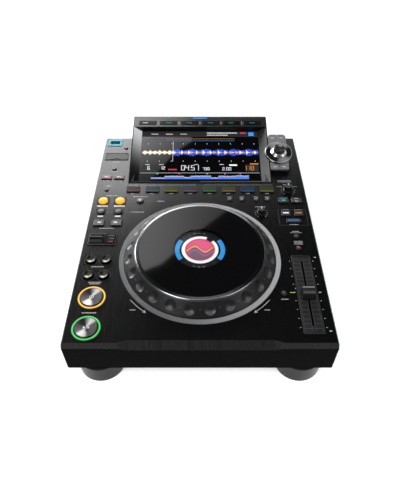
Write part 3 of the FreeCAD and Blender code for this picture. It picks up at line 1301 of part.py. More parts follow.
def main():
    os.makedirs("parts", exist_ok=True)
    nodes = {
        "top_cover": top_cover(), "bottom_pan": bottom_pan(), "rear_panel": rear_panel(),
        "feet": feet(), "case_screws": case_screws(), "display_housing": display_housing(),
        "display_glass": display_glass(), "lcd_module": lcd_module(), "jog_ring": jog_ring(),
        "jog_post": jog_post(), "jog_display": jog_display(), "platter": platter(),
        "platter_rim": platter_rim(), "platter_glass": platter_glass(),
        "transport_rings": transport_rings(), "slider_plate": slider_plate(),
        "slider_track": slider_track(), "tempo_slider": tempo_slider(),
        "direction_escutcheon": direction_escutcheon(), "direction_lever": direction_lever(),
        "selector_housing": selector_housing(), "selector_ring": selector_ring(),
        "selector_shaft": selector_shaft(), "selector_knob": selector_knob(),
        "browse_buttons": browse_buttons(), "menu_buttons": menu_buttons(),
        "media_ports": media_ports(), "sd_door": sd_door(), "ac_inlet": ac_inlet(),
        "power_switch": power_switch(), "signal_jacks": signal_jacks(),
        "circuit_boards": circuit_boards(), "power_supply": power_supply(),
        "vinyl_speed_knob": deck_knob(
            VINYL_X, VINYL_FROM_FRONT, VINYL_RADIUS, VINYL_HEIGHT, VINYL_FLUTES),
        "jog_adjust_knob": deck_knob(
            RIGHT_X, JOG_ADJUST_FROM_FRONT, JOG_ADJUST_RADIUS, JOG_ADJUST_HEIGHT, JOG_ADJUST_FLUTES),
    }
    for keys in (deck_keys(), transport_keys()):
        for name, group in keys.items():
            solids = [key.solid() for key in group]
            nodes[name] = solids[0] if len(solids) == 1 else Part.makeCompound(solids)
    for name, shape in nodes.items():
        export(name, shape)


main()
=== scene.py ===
import math
import random

import bpy
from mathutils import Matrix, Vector


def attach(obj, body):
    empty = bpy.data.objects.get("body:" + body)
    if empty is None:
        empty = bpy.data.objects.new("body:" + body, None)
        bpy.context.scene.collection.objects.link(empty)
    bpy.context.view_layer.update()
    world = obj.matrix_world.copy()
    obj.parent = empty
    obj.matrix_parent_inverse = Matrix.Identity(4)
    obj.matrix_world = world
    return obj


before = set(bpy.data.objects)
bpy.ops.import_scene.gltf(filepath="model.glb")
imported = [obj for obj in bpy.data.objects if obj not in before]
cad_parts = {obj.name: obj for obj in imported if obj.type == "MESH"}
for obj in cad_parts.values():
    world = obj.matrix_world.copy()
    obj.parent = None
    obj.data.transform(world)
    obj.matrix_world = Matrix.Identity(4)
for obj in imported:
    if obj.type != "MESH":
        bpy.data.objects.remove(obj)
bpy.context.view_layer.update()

# Sizes are in millimetres in the part's frame, and d counts back from the front face
MM = 0.001
FRONT = -226.5
REAR = 195.3
DECK = 85.0
JOG_Y = -86.0
JOG_D = JOG_Y - FRONT
JOG_SCREEN = 100.0
JOG_SCREEN_RADIUS = 35.4
SLOPE = math.atan2(32.4, 139.0)
SLOPE_Y = FRONT + 298.2
SLOPE_Z = DECK + 0.6
SCREEN_DEPTH = -12.0
LIFT = 0.04

# Columns of keys, by their X
LEFT_A = -147.9
LEFT_B = -122.1
SKIP_KEYS = (LEFT_A, LEFT_A + 20.4)
PLAY_X = -137.4
RELOOP_X = -91.5
MODE_KEYS = (-150.1, -130.1)
DIRECTION_X = -125.4
CALL_KEYS = (46.0, 64.6, 86.6, 103.6)
RIGHT_X = 137.5
SYNC_SHIFT = 9.6
SELECTOR_X = 129.6
SELECTOR_S = 61.2
PAD_PITCH = 29.85
MENU_PITCH = 35.9

# Rows of keys, by their d
PLAY_ROW = 24.6
CUE_ROW = 70.6
CAP_ROW = 74.4
SLIDER_ROW = 79.6
SEARCH_ROW = 107.5
TRACK_ROW = 134.5
MASTER_ROW = 211.4
JUMP_ROW = 207.0
SYNC_ROW = 227.4
BEAT_ROW = 231.0
LOOP_ROW = 255.4
CALL_ROW = 258.4
MODE_ROW = 312.2
SKIP_ROWS = (("track", TRACK_ROW), ("search", SEARCH_ROW))
MENU_ROW = 129.1

# Single keys, knobs and the socket, by X and d
RANGE_KEY = (RIGHT_X, 179.6)
TEMPO_KEY = (RIGHT_X, 156.8)
RESET_KEY = (107.7, 77.5)
VINYL_KNOB = (91.5, 229.0)
ADJUST_KNOB = (RIGHT_X, 280.6)
SOCKET = (-147.2, 408.0)

# Heights of the key tops above the deck
FLAT_TOP = 2.0
SMALL_TOP = 2.1
DOME_TOP = 2.5
DISH_TOP = 2.6

# The back: sockets by X from left to right, and heights above the table
JACK_X = -132.0
JACK_PITCH = 24.0
JACK_ROW = 58.0
REAR_SCREWS = ((-154.0, 76.0), (-154.0, 42.0), (-8.0, 76.0), (-8.0, 42.0),
               (84.0, 76.0), (154.0, 76.0), (154.0, 42.0), (84.0, 42.0))

random.seed(7)


# Finishes


class Nodes:
    """The node tree of one material."""

    def __init__(self, name):
        self.material = bpy.data.materials.new(name)
        self.material.use_nodes = True
        self.tree = self.material.node_tree

    def node(self, kind):
        return self.tree.nodes.new(kind)

    def feed(self, value, socket):
        """Link an output, or put a plain value, on a socket."""
        if hasattr(value, "links"):
            self.tree.links.new(value, socket)
        else:
            socket.default_value = value

    def math(self, operation, a, b=0.0, c=0.0):
        node = self.node("ShaderNodeMath")
        node.operation = operation
        for value, socket in zip((a, b, c), node.inputs):
            self.feed(value, socket)
        return node.outputs["Value"]

    def times(self, a, b):
        return self.math("MULTIPLY", a, b)

    def span(self, value, low, high, to_low=0.0, to_high=1.0):
        """Map a value from one range to another, held at its ends."""
        node = self.node("ShaderNodeMapRange")
        node.interpolation_type = "SMOOTHSTEP"
        for item, socket in zip((value, low, high, to_low, to_high), node.inputs):
            self.feed(item, socket)
        return node.outputs["Result"]

    def parts(self, vector):
        """The X, Y and Z of a vector."""
        node = self.node("ShaderNodeSeparateXYZ")
        self.feed(vector, node.inputs[0])
        return node.outputs


class Finish(Nodes):
    """A material on the Principled shader, with its textures in the part's own places."""

    def __init__(self, name, color, rough, metal=0.0, specular=0.5):
        super().__init__(name)
        self.shader = self.tree.nodes["Principled BSDF"]
        self.place = self.node("ShaderNodeTexCoord").outputs["Object"]
        self.set("Base Color", (*color, 1.0))
        self.set("Roughness", rough)
        self.set("Metallic", metal)
        self.set("Specular IOR Level", specular)
        self.color = color
        self.rough = rough

    def set(self, socket, value):
        self.feed(value, self.shader.inputs[socket])
        return self

    def noise(self, scale, stretch=(1, 1, 1), detail=3.0):
        """Noise from 0 to 1, with features of about 1 / scale mm."""
        mapping = self.node("ShaderNodeMapping")
        self.feed(self.place, mapping.inputs["Vector"])
        mapping.inputs["Scale"].default_value = [s * scale * 1000 for s in stretch]
        texture = self.node("ShaderNodeTexNoise")
        texture.inputs["Scale"].default_value = 1.0
        texture.inputs["Detail"].default_value = detail
        self.feed(mapping.outputs["Vector"], texture.inputs["Vector"])
        return texture.outputs["Fac"]

    def axis(self, name):
        """A place along X, Y or Z, in millimetres."""
        return self.times(self.parts(self.place)[name], 1000.0)

    def facing(self, name):
        """How far a face looks along X, Y or Z, from -1 to 1."""
        return self.parts(self.node("ShaderNodeNewGeometry").outputs["Normal"])[name]

    def away(self, x, y):
        """The distances along X and Y from an upright axis, in millimetres."""
        return self.math("SUBTRACT", self.axis("X"), x), self.math("SUBTRACT", self.axis("Y"), y)

    def radius(self, x, y):
        """The distance from an upright axis, in millimetres."""
        dx, dy = self.away(x, y)
        return self.math("SQRT", self.math("ADD", self.times(dx, dx), self.times(dy, dy)))

    def turn(self, x, y):
        """The angle about an upright axis, in radians."""
        return self.math("ARCTAN2", *self.away(x, y))

    def mix(self, factor, a, b):
        node = self.node("ShaderNodeMix")
        node.data_type = "RGBA"
        self.feed(factor, node.inputs[0])
        for value, socket in ((a, node.inputs[6]), (b, node.inputs[7])):
            self.feed(value if hasattr(value, "links") else (*value, 1.0), socket)
        return node.outputs[2]

    def paint(self, color):
        return self.set("Base Color", color)

    def vary(self, amount, scale, stretch=(1, 1, 1)):
        """Uneven colour and roughness, as handled plastic and paint have."""
        patch = self.noise(scale, stretch)
        dark = [c * (1 - amount) for c in self.color]
        light = [min(1.0, c * (1 + amount)) for c in self.color]
        self.paint(self.mix(patch, dark, light))
        smooth = self.rough * (1 - amount / 2)
        dull = self.rough * (1 + amount / 2)
        return self.set("Roughness", self.span(patch, 0.3, 0.7, smooth, dull))

    def grain(self, scale, depth, stretch=(1, 1, 1), strength=0.5):
        """Fine relief, its depth in millimetres."""
        bump = self.node("ShaderNodeBump")
        bump.inputs["Strength"].default_value = strength
        bump.inputs["Distance"].default_value = depth * MM
        self.feed(self.noise(scale, stretch, 2.0), bump.inputs["Height"])
        return self.set("Normal", bump.outputs["Normal"])

    def glow(self, color, strength):
        self.set("Emission Color", color if hasattr(color, "links") else (*color, 1.0))
        return self.set("Emission Strength", strength)

    def shine(self, side, bevel, top):
        """Set the shine of upright, sloping and level faces apart."""
        up = self.facing("Z")
        sloping = self.span(up, 0.93, 0.99, bevel, top)
        level = self.math("MULTIPLY_ADD", self.span(up, 0.1, 0.3), sloping, side)
        return self.set("Specular IOR Level", level)

    def fan(self, x, y, dark, light, start=0.9, blades=2.0):
        """Painted highlights: light and dark blades round an upright axis, standing for the sheen a turned
        face shows.
        """
        wave = self.math("SINE", self.math("MULTIPLY_ADD", self.turn(x, y), blades, start))
        return self.paint(self.mix(self.span(wave, 0.1, 1.0), dark, light))

    def spun(self, amount):
        """The fan-shaped sheen of a turned face."""
        tangent = self.node("ShaderNodeTangent")
        tangent.direction_type = "RADIAL"
        tangent.axis = "Z"
        self.set("Tangent", tangent.outputs["Tangent"])
        return self.set("Anisotropic", amount)


def plastic(name, color, rough=0.45, specular=0.5):
    return Finish(name, color, rough, 0.0, specular).vary(0.22, 0.05).grain(4.0, 0.02)


def metal(name, color, rough=0.25):
    return Finish(name, color, rough, 1.0).vary(0.12, 0.08)


# Painted highlight: turned metal whose colour is painted in light and dark fan blades
def turned_metal(name, x, d, dark, light):
    return Finish(name, dark, 0.3, 1.0).fan(x, FRONT + d, dark, light).spun(0.8)


def lamp(name, color, strength=1.0):
    """A lit window under a clear surface."""
    return Finish(name, [c * 0.25 for c in color], 0.25, 0.0, 0.06).vary(0.15, 0.2).glow(color, strength)


def ink(name, shade, rough=0.5):
    return Finish(name, shade, rough, 0.0, 0.06).vary(0.15, 0.6)


def deck_black():
    """Brushed black, shining only beside and before the hood, with painted shade: its upright faces are
    painted darker, and the deck inside the hood is painted near black on the left and lighter grey on the
    right.
    """
    finish = Finish("deck_brushed_black", (0.0021, 0.0021, 0.0023), 0.3)
    finish.vary(0.3, 1.6, (1, 0.02, 0.05)).grain(6.0, 0.012, (1, 0.012, 0.05), 0.4)
    brushed = finish.shader.inputs["Base Color"].links[0].from_socket
    across = finish.axis("X")
    beside = finish.span(finish.math("ABSOLUTE", across), 111.0, 112.5)
    before = finish.span(finish.axis("Y"), SLOPE_Y + 2.0, SLOPE_Y)
    outside = finish.math("MAXIMUM", beside, before)
    sheen = finish.span(across, -125.0, -40.0, 0.06, 0.022)
    finish.shine(0.008, 0.6, finish.times(sheen, outside))
    # Painted shade inside the hood: near black on the left, lighter grey on the right
    hood_floor_shade = finish.mix(finish.span(across, -1.0, 1.0), (0.003, 0.003, 0.003), (0.06, 0.06, 0.061))
    top = finish.mix(outside, hood_floor_shade, brushed)
    # Painted shade: upright faces are painted darker than the top
    level = finish.span(finish.facing("Z"), 0.1, 0.3)
    return finish.paint(finish.mix(level, (0.0009, 0.0009, 0.001), top))


def hood_black():
    """Satin black, with painted light and shade on the recess's side walls and a shine along its top: the
    left wall painted lighter towards the back, the right wall painted lighter towards the front.
    """
    black = (0.006, 0.006, 0.0065)
    finish = Finish("hood_satin", black, 0.3, 0.0, 0.3).grain(5.0, 0.015)
    across = finish.axis("X")
    along = finish.axis("Y")
    # Painted light and shade on the recess's inner side walls
    inner = finish.span(finish.times(finish.facing("X"), across), -20.0, -40.0)
    back = finish.span(along, SLOPE_Y + 10.0, SLOPE_Y + 128.0)
    left_wall_painted_light = finish.mix(finish.times(back, back), black, (0.7, 0.7, 0.71))
    right_wall_painted_shade = finish.mix(back, (0.07, 0.07, 0.072), (0.012, 0.012, 0.0125))
    wall = finish.mix(finish.span(across, -1.0, 1.0), left_wall_painted_light, right_wall_painted_shade)
    finish.paint(finish.mix(inner, black, wall))
    strip = finish.span(along, SLOPE_Y + 100.0, SLOPE_Y + 116.0, 0.03, 0.13)
    return finish.set("Specular IOR Level", finish.span(inner, 0.0, 1.0, strip, 0.02))


def rim_chrome():
    """Dark-painted metal with a painted highlight: bright only on its outer edge."""
    finish = metal("rim_chrome", (0.3, 0.3, 0.31), 0.24)
    # Painted highlight past 85.9 mm from the jog's axis; the rest is painted dark
    edge = finish.span(finish.radius(0.0, JOG_Y), 85.9, 86.4)
    return finish.paint(finish.mix(edge, (0.018, 0.018, 0.019), (0.15, 0.152, 0.156)))


def platter_black():
    """Satin black, with painted light on the up-facing slopes inside the dimples."""
    finish = Finish("platter_satin", (0.009, 0.009, 0.0095), 0.34, 0.0, 0.15)
    finish.vary(0.25, 0.06).grain(5.0, 0.012)
    up = finish.facing("Z")
    # Painted light: dimple slopes facing up are painted lighter
    dimple_light = finish.times(finish.span(up, 0.73, 0.87), finish.span(up, 0.985, 0.93))
    return finish.paint(finish.mix(dimple_light, (0.008, 0.008, 0.0085), (0.05, 0.05, 0.052)))


def ring_hatched():
    """Fine hatching all round, with painted light that makes it paler to the right."""
    finish = Finish("jog_ring_hatched", (0.2, 0.2, 0.205), 0.45, 0.1, 0.1)
    hatch = finish.math("SINE", finish.times(finish.turn(0.0, JOG_Y), 360.0))
    hatched = finish.mix(finish.span(hatch, -0.3, 0.3), (0.035, 0.035, 0.036), (0.13, 0.13, 0.132))
    # Painted light: paler towards the right
    across = finish.span(finish.axis("X"), -60.0, 110.0)
    return finish.paint(finish.mix(across, hatched, (0.26, 0.26, 0.265)))


def ring_lamps():
    """The two rings round the transport keys: green in front, amber behind."""
    finish = Finish("transport_ring_light", (0.02, 0.02, 0.02), 0.25)
    middle = FRONT + (PLAY_ROW + CUE_ROW) / 2
    behind = finish.span(finish.axis("Y"), middle - 1, middle + 1)
    near = finish.radius(PLAY_X, FRONT + PLAY_ROW)
    far = finish.radius(PLAY_X, FRONT + CUE_ROW)
    distance = finish.math("MINIMUM", near, far)
    band = finish.times(finish.span(distance, 15.2, 15.8), finish.span(distance, 17.6, 17.0))
    strength = finish.math("MULTIPLY_ADD", band, 1.3, 0.06)
    return finish.glow(finish.mix(behind, (0.03, 0.55, 0.08), (1.0, 0.5, 0.02)), strength)


def clear_window():
    """Black glass that is clear inside a circle."""
    finish = Finish("jog_glass", (0.001, 0.001, 0.0012), 0.05, 0.0, 0.5)
    clear = finish.node("ShaderNodeBsdfTransparent")
    shine = finish.node("ShaderNodeBsdfGlossy")
    shine.inputs["Roughness"].default_value = 0.04
    inside = finish.node("ShaderNodeMixShader")
    both = finish.node("ShaderNodeMixShader")
    outside = finish.span(finish.radius(0.0, JOG_Y), JOG_SCREEN_RADIUS, JOG_SCREEN_RADIUS + 0.3)
    for node, values in ((inside, (0.018, clear.outputs[0], shine.outputs[0])),
                         (both, (outside, inside.outputs[0], finish.shader.outputs[0]))):
        for value, socket in zip(values, node.inputs):
            finish.feed(value, socket)
    finish.feed(both.outputs[0], finish.tree.nodes["Material Output"].inputs["Surface"])
    return finish


def knob_metal():
    """Bright metal up to the skirt's top, and black above it."""
    finish = Finish("selector_knob", (0.02, 0.02, 0.02), 0.2)
    rise = finish.times(finish.axis("Z"), math.cos(SLOPE))
    fall = finish.times(finish.axis("Y"), math.sin(SLOPE))
    skirt_top = SLOPE_Z * math.cos(SLOPE) - SLOPE_Y * math.sin(SLOPE) + 7.4
    above = finish.span(finish.math("SUBTRACT", rise, fall), skirt_top - 0.05, skirt_top + 0.05)
    finish.paint(finish.mix(above, (0.75, 0.76, 0.78), (0.012, 0.012, 0.013)))
    return finish.set("Metallic", finish.math("SUBTRACT", 1.0, above))


# Painted highlight: glossy black with light fan blades painted round the selector's axis
def selector_gloss():
    finish = Finish("selector_gloss", (0.004, 0.004, 0.005), 0.12)
    y = SLOPE_Y + SELECTOR_S * math.cos(SLOPE)
    return finish.fan(SELECTOR_X, y, (0.003, 0.003, 0.003), (0.16, 0.16, 0.165), 2.4)


def port_blue():
    """A dark well with a blue frame that glows at its top."""
    finish = Finish("port_frame_blue", (0.03, 0.22, 0.32), 0.3, 0.0, 0.04).vary(0.2, 0.1)
    in_port = finish.span(finish.axis("Y"), FRONT + 385.0, FRONT + 390.0)
    in_frame = finish.span(finish.axis("Z"), DECK - 0.3, DECK + 0.1)
    finish.paint(finish.mix(in_port, (0.012, 0.012, 0.013), (0.02, 0.13, 0.17)))
    return finish.glow((0.04, 0.5, 0.66), finish.times(finish.times(in_port, in_frame), 0.22))


def pad_finish(index, color):
    """A rubber pad lit dimly from inside, brighter at its back."""
    x = (index - 3.5) * PAD_PITCH
    shade = [0.005 + 0.1 * part for part in color]
    finish = Finish("pad_%d" % (index + 1), shade, 0.4, 0.0, 0.02).vary(0.2, 0.1).grain(4.0, 0.015)
    side = finish.math("ABSOLUTE", finish.math("SUBTRACT", finish.axis("X"), x))
    back = finish.span(finish.axis("Y"), FRONT + 278.4, FRONT + 277.2)
    edge = finish.math("MAXIMUM", finish.span(side, 9.3, 10.2, 0.0, 0.35), back)
    top = finish.span(finish.axis("Z"), DECK + 1.2, DECK + 1.6)
    return finish.glow(color, finish.times(top, finish.math("MULTIPLY_ADD", edge, 0.8, 0.06)))


PAD_COLORS = ((0.10, 0.045, 0.035), (0.05, 0.09, 0.10), (0.11, 0.13, 0.02), (0.085, 0.07, 0.11),
              (0.03, 0.14, 0.035), (0.13, 0.11, 0.03), (0.02, 0.07, 0.18), (0.12, 0.12, 0.03))

foot_finish = Finish("foot_satin_grey", (0.026, 0.026, 0.027), 0.34, 0.6, 0.15)
foot_finish.vary(0.22, 0.5, (0.05, 0.05, 1)).grain(3.0, 0.02, (0.05, 0.05, 1))
leather_grey = Finish("key_grey_leather", (0.12, 0.12, 0.122), 0.42, 0.0, 0.15)
leather_grey.vary(0.2, 0.5).grain(1.2, 0.12, (1, 1, 1), 0.8)
rubber = plastic("foot_rubber", (0.02, 0.02, 0.02), 0.8, 0.2)
steel = metal("steel", (0.5, 0.5, 0.52), 0.3)
gloss_black = Finish("gloss_black", (0.001, 0.001, 0.0012), 0.06, 0.0, 0.3).vary(0.3, 0.04)
satin_black = plastic("satin_black", (0.005, 0.005, 0.0055), 0.4, 0.15)
key_finish = plastic("key_satin", (0.008, 0.008, 0.009), 0.45, 0.15)
gloss_plate = Finish("gloss_plate", (0.002, 0.002, 0.002), 0.3, 0.0, 0.03).vary(0.3, 0.1)
amber_key = Finish("amber_key", (0.6, 0.26, 0.015), 0.3, 0.0, 0.1).vary(0.15, 0.2)
amber_key.glow((1.0, 0.45, 0.01), 0.5)
white_ink = ink("white_ink", (0.62, 0.62, 0.63))
edge_ink = ink("edge_ink", (0.035, 0.035, 0.036))
print_ink = ink("print_ink", (0.4, 0.4, 0.405))
grey_ink = ink("grey_ink", (0.12, 0.12, 0.122))
black_ink = ink("black_ink", (0.006, 0.006, 0.006), 0.35)
# Painted shade: black sheets for the dark inside of the back's slots and screw recesses
hole_shade_black = ink("hole_shade_black", (0.002, 0.002, 0.002), 0.6)
red_lamp = lamp("red_lamp", (0.8, 0.05, 0.03), 0.7)
dim_red_lamp = lamp("dim_red_lamp", (0.25, 0.03, 0.03), 0.6)
blue_lamp = lamp("blue_lamp", (0.05, 0.35, 0.9), 0.9)
green_lamp = lamp("green_lamp", (0.1, 0.65, 0.12), 0.9)
teal_lamp = lamp("teal_lamp", (0.05, 0.3, 0.34), 0.5)
white_lamp = lamp("white_lamp", (0.85, 0.88, 0.92), 0.8)

CAD_FINISHES = {
    "top_cover": deck_black(),
    "bottom_pan": plastic("body_satin_black", (0.0008, 0.0008, 0.0009), 0.5, 0.005),
    "rear_panel": plastic("rear_satin_black", (0.008, 0.008, 0.0085), 0.5, 0.1),
    "feet": foot_finish,
    "display_housing": hood_black(),
    "lcd_module": plastic("lcd_frame", (0.1, 0.1, 0.1), 0.5),
    "circuit_boards": Finish("board_mask", (0.01, 0.09, 0.035), 0.35).vary(0.4, 0.4),
    "power_supply": metal("folded_steel", (0.6, 0.6, 0.6), 0.35).grain(2.0, 0.02, (1, 0.05, 1)),
    "media_ports": port_blue(),
    "jog_ring": ring_hatched(),
    "selector_ring": selector_gloss(),
    "transport_rings": ring_lamps(),
    "platter": platter_black(),
    "platter_rim": rim_chrome(),
    "platter_glass": clear_window(),
    "selector_knob": knob_metal(),
    "sd_door": plastic("door_grey", (0.034, 0.032, 0.031), 0.35, 0.03),
    "browse_buttons": leather_grey,
}
SHARED_FINISHES = (
    (steel, ("case_screws", "selector_shaft")),
    (gloss_black, ("display_glass", "jog_display", "power_switch")),
    (gloss_plate, ("direction_escutcheon", "menu_buttons")),
    (amber_key, ("loop_in_button", "loop_out_button")),
    (satin_black, ("signal_jacks", "ac_inlet", "jog_post", "slider_track", "selector_housing", "slider_plate",
                   "tempo_slider", "vinyl_speed_knob", "jog_adjust_knob", "direction_lever")),
)
for finish, names in SHARED_FINISHES:
    for name in names:
        CAD_FINISHES[name] = finish
# Play, cue, track and search keys: turned metal with painted fan highlights
for name, d in (("play", PLAY_ROW), ("cue", CUE_ROW)):
    CAD_FINISHES[name + "_button"] = turned_metal(
        name + "_spun_metal", PLAY_X, d, (0.05, 0.05, 0.05), (0.36, 0.36, 0.36))
for row, d in SKIP_ROWS:
    for way, x in zip(("back", "forward"), SKIP_KEYS):
        CAD_FINISHES["%s_%s_button" % (row, way)] = turned_metal(
            "%s_%s_metal" % (row, way), x, d, (0.003, 0.003, 0.002), (0.034, 0.032, 0.02))
for index, color in enumerate(PAD_COLORS):
    CAD_FINISHES["hot_cue_%d" % (index + 1)] = pad_finish(index, color)
for name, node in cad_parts.items():
    node.data.materials.clear()
    node.data.materials.append(CAD_FINISHES.get(name, key_finish).material)


# Marks and small pieces


def on_deck(x, d, lift=0.0):
    return x, FRONT + d, DECK + lift


def on_slope(x, along, above=0.0):
    y = SLOPE_Y + along * math.cos(SLOPE) - above * math.sin(SLOPE)
    z = SLOPE_Z + along * math.sin(SLOPE) + above * math.cos(SLOPE)
    return x, y, z


def on_screen(x, along, lift=0.0):
    return on_slope(x, along, SCREEN_DEPTH + lift)


def on_jog(x, y, lift=0.0):
    return x, JOG_Y + y, JOG_SCREEN + lift


def on_back(x, z, lift=0.0):
    return -x, REAR + lift, z


def placed(name, data):
    piece = bpy.data.objects.new(name, data)
    bpy.context.scene.collection.objects.link(piece)
    return piece


def mesh_piece(name, points, faces, material):
    mesh = bpy.data.meshes.new(name)
    mesh.from_pydata(points, [], faces)
    mesh.materials.append(material)
    mesh.update()
    return placed(name, mesh)


class Sheets:
    """Flat marks of one finish on one body, gathered in one mesh."""

    def __init__(self, name, finish, body, plane=on_deck, lift=LIFT, slot="key"):
        self.name, self.finish, self.body = name, finish, body
        self.plane, self.lift, self.slot = plane, lift, slot
        self.points, self.faces = [], []

    def polygon(self, points):
        start = len(self.points)
        self.points += [Vector(self.plane(x, y, self.lift)) * MM for x, y in points]
        self.faces.append(list(range(start, len(self.points))))
        return self

    def rect(self, x, y, width, length):
        w, h = width / 2, length / 2
        return self.polygon([(x - w, y - h), (x + w, y - h), (x + w, y + h), (x - w, y + h)])

    def frame(self, x, y, width, length, line):
        w, h = width / 2, length / 2
        self.rect(x, y - h + line / 2, width, line)
        self.rect(x, y + h - line / 2, width, line)
        self.rect(x - w + line / 2, y, line, length - 2 * line)
        return self.rect(x + w - line / 2, y, line, length - 2 * line)

    def line(self, x0, y0, x1, y1, width):
        length = math.hypot(x1 - x0, y1 - y0)
        nx, ny = -(y1 - y0) / length * width / 2, (x1 - x0) / length * width / 2
        return self.polygon([(x0 + nx, y0 + ny), (x0 - nx, y0 - ny), (x1 - nx, y1 - ny), (x1 + nx, y1 + ny)])

    def arrow(self, x, y, way, tail, tip, half):
        """A triangle that points right, or left where way is -1."""
        points = [(x - way * tail, y - half), (x + way * tip, y), (x - way * tail, y + half)]
        return self.polygon(points if way > 0 else points[::-1])

    def disc(self, x, y, radius, sides=28):
        return self.polygon([point[:2] for point in circle(x, y, 0.0, radius, sides)])

    def arc(self, x, y, inner, outer, start=0.0, end=360.0):
        """A band from one angle to another, counted anticlockwise from the right."""
        steps = max(2, int(abs(end - start) / 6))
        for n in range(steps):
            a = math.radians(start + (end - start) * n / steps)
            b = math.radians(start + (end - start) * (n + 1) / steps)
            self.polygon([(x + radius * math.cos(angle), y + radius * math.sin(angle))
                          for radius, angle in ((inner, a), (outer, a), (outer, b), (inner, b))])
        return self

    def pierced(self, x, y, width, length, radius):
        """A rectangle with a round hole."""
        sides = 40
        points = []
        for n in range(sides):
            angle = 2 * math.pi * (n + 0.5) / sides
            c, s = math.cos(angle), math.sin(angle)
            reach = min(width / 2 / abs(c), length / 2 / abs(s))
            points.append(((x + radius * c, y + radius * s), (x + reach * c, y + reach * s)))
        for n in range(sides):
            (a, b), (c, d) = points[n], points[(n + 1) % sides]
            self.polygon([a, b, d, c])
        return self

    def word(self, x, y, width, height=1.2):
        """A row of short strokes that stands for a printed label."""
        at = x - width / 2
        while at < x + width / 2 - 0.5:
            stroke = min(random.uniform(0.7, 2.0), x + width / 2 - at)
            self.rect(at + stroke / 2, y, stroke, height)
            at += stroke + 0.45
        return self

    def digits(self, text, x, y, height, line):
        """Seven-bar figures, starting at x."""
        width = height * 0.55
        bars = {"0": "abcdef", "1": "bc", "2": "abged", "3": "abgcd", "4": "fgbc", "5": "afgcd",
                "6": "afgedc", "7": "abc", "8": "abcdefg"}
        half = height / 2
        for character in text:
            if character in ":.":
                self.rect(x + line, y - half + line / 2, line, line)
                if character == ":":
                    self.rect(x + line, y + half * 0.3, line, line)
                x += 3 * line
                continue
            for bar in bars[character]:
                if bar in "agd":
                    rise = {"a": half - line / 2, "g": 0.0, "d": line / 2 - half}[bar]
                    self.rect(x + width / 2, y + rise, width, line)
                else:
                    side = x + (width - line / 2 if bar in "bc" else line / 2)
                    self.rect(side, y + (half / 2 if bar in "bf" else -half / 2), line, half)
            x += width + line * 1.4
        return self

    def done(self):
        piece = mesh_piece(self.name, self.points, self.faces, self.finish.material)
        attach(piece, self.body)


def circle(x, y, z, radius, sides=40):
    angles = [2 * math.pi * n / sides for n in range(sides)]
    return [(x + radius * math.cos(angle), y + radius * math.sin(angle), z) for angle in angles]


def circle_y(x, y, z, radius, sides=32):
    """A circle that faces the back."""
    return [(x - a, y, z + b) for a, b, _ in circle(0.0, 0.0, 0.0, radius, sides)]


def walls(levels, count):
    """Faces that join rings of points, each to the next."""
    faces = []
    for level in range(levels - 1):
        for n in range(count):
            a = level * count + n
            b = level * count + (n + 1) % count
            faces.append([a, b, b + count, a + count])
    return faces


def solid(name, rings, finish, body, close=True):
    """A closed mesh from rings of points in millimetres, each joined to the next."""
    points = [Vector(p) * MM for ring in rings for p in ring]
    count = len(rings[0])
    faces = walls(len(rings), count)
    if close:
        faces.append(list(range(count))[::-1])
        faces.append([len(points) - count + n for n in range(count)])
    piece = mesh_piece(name, points, faces, finish.material)
    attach(piece, body)


# Each printed word by its X, d, width and height
LEFT_WORDS = (
    (-135.0, 268.0, 20.0, 1.2), (RELOOP_X, 266.0, 22.0, 1.2), (-60.0, LOOP_ROW, 11.0, 1.2),
    (-94.0, BEAT_ROW, 20.0, 1.2), (-135.0, 196.6, 22.0, 1.2), (-137.7, TRACK_ROW - 11.4, 17.0, 1.2),
    (-137.7, SEARCH_ROW - 11.4, 17.0, 1.2), (PLAY_X, 93.6, 14.0, 1.3), (PLAY_X, 47.6, 18.0, 1.3),
    (MODE_KEYS[0], 304.4, 11.0, 1.2), (MODE_KEYS[1], 304.4, 11.0, 1.2), (-140.1, 327.8, 14.0, 1.1),
    (-146.0, 291.0, 12.0, 1.1), (-140.0, 353.4, 12.0, 1.3), (-127.2, 386.0, 9.0, 1.1),
)
RIGHT_WORDS = (
    (VINYL_KNOB[0], 242.6, 16.0, 1.1), (RIGHT_X + 1, 295.0, 13.0, 1.1), (RIGHT_X - 12.0, 290.0, 8.0, 0.8),
    (RIGHT_X + 12.0, 290.0, 8.0, 0.8), (RIGHT_X - 3.0, 304.6, 22.0, 1.0), (RIGHT_X - 3.0, 301.6, 22.0, 1.0),
    (RIGHT_X - SYNC_SHIFT, 236.2, 11.0, 1.1), (RIGHT_X + SYNC_SHIFT, 236.2, 11.0, 1.1),
    (RIGHT_X, 204.4, 14.0, 1.1), (RIGHT_X, 190.0, 10.0, 1.0), (RIGHT_X, 187.4, 16.0, 0.8),
    (RIGHT_X + 1, 170.4, 12.0, 1.0), (RIGHT_X + 1, 167.6, 12.0, 1.0), (RIGHT_X + 1, 165.0, 12.0, 1.0),
    (RESET_KEY[0], 68.6, 9.0, 1.1),
)
# Lines between the keys, by both ends and d
JOINING_LINES = ((-139.0, -131.0, LOOP_ROW), (-113.0, -99.0, LOOP_ROW), (-84.0, -67.0, LOOP_ROW),
                 (-141.5, -128.5, BEAT_ROW), (-115.0, -105.0, BEAT_ROW))


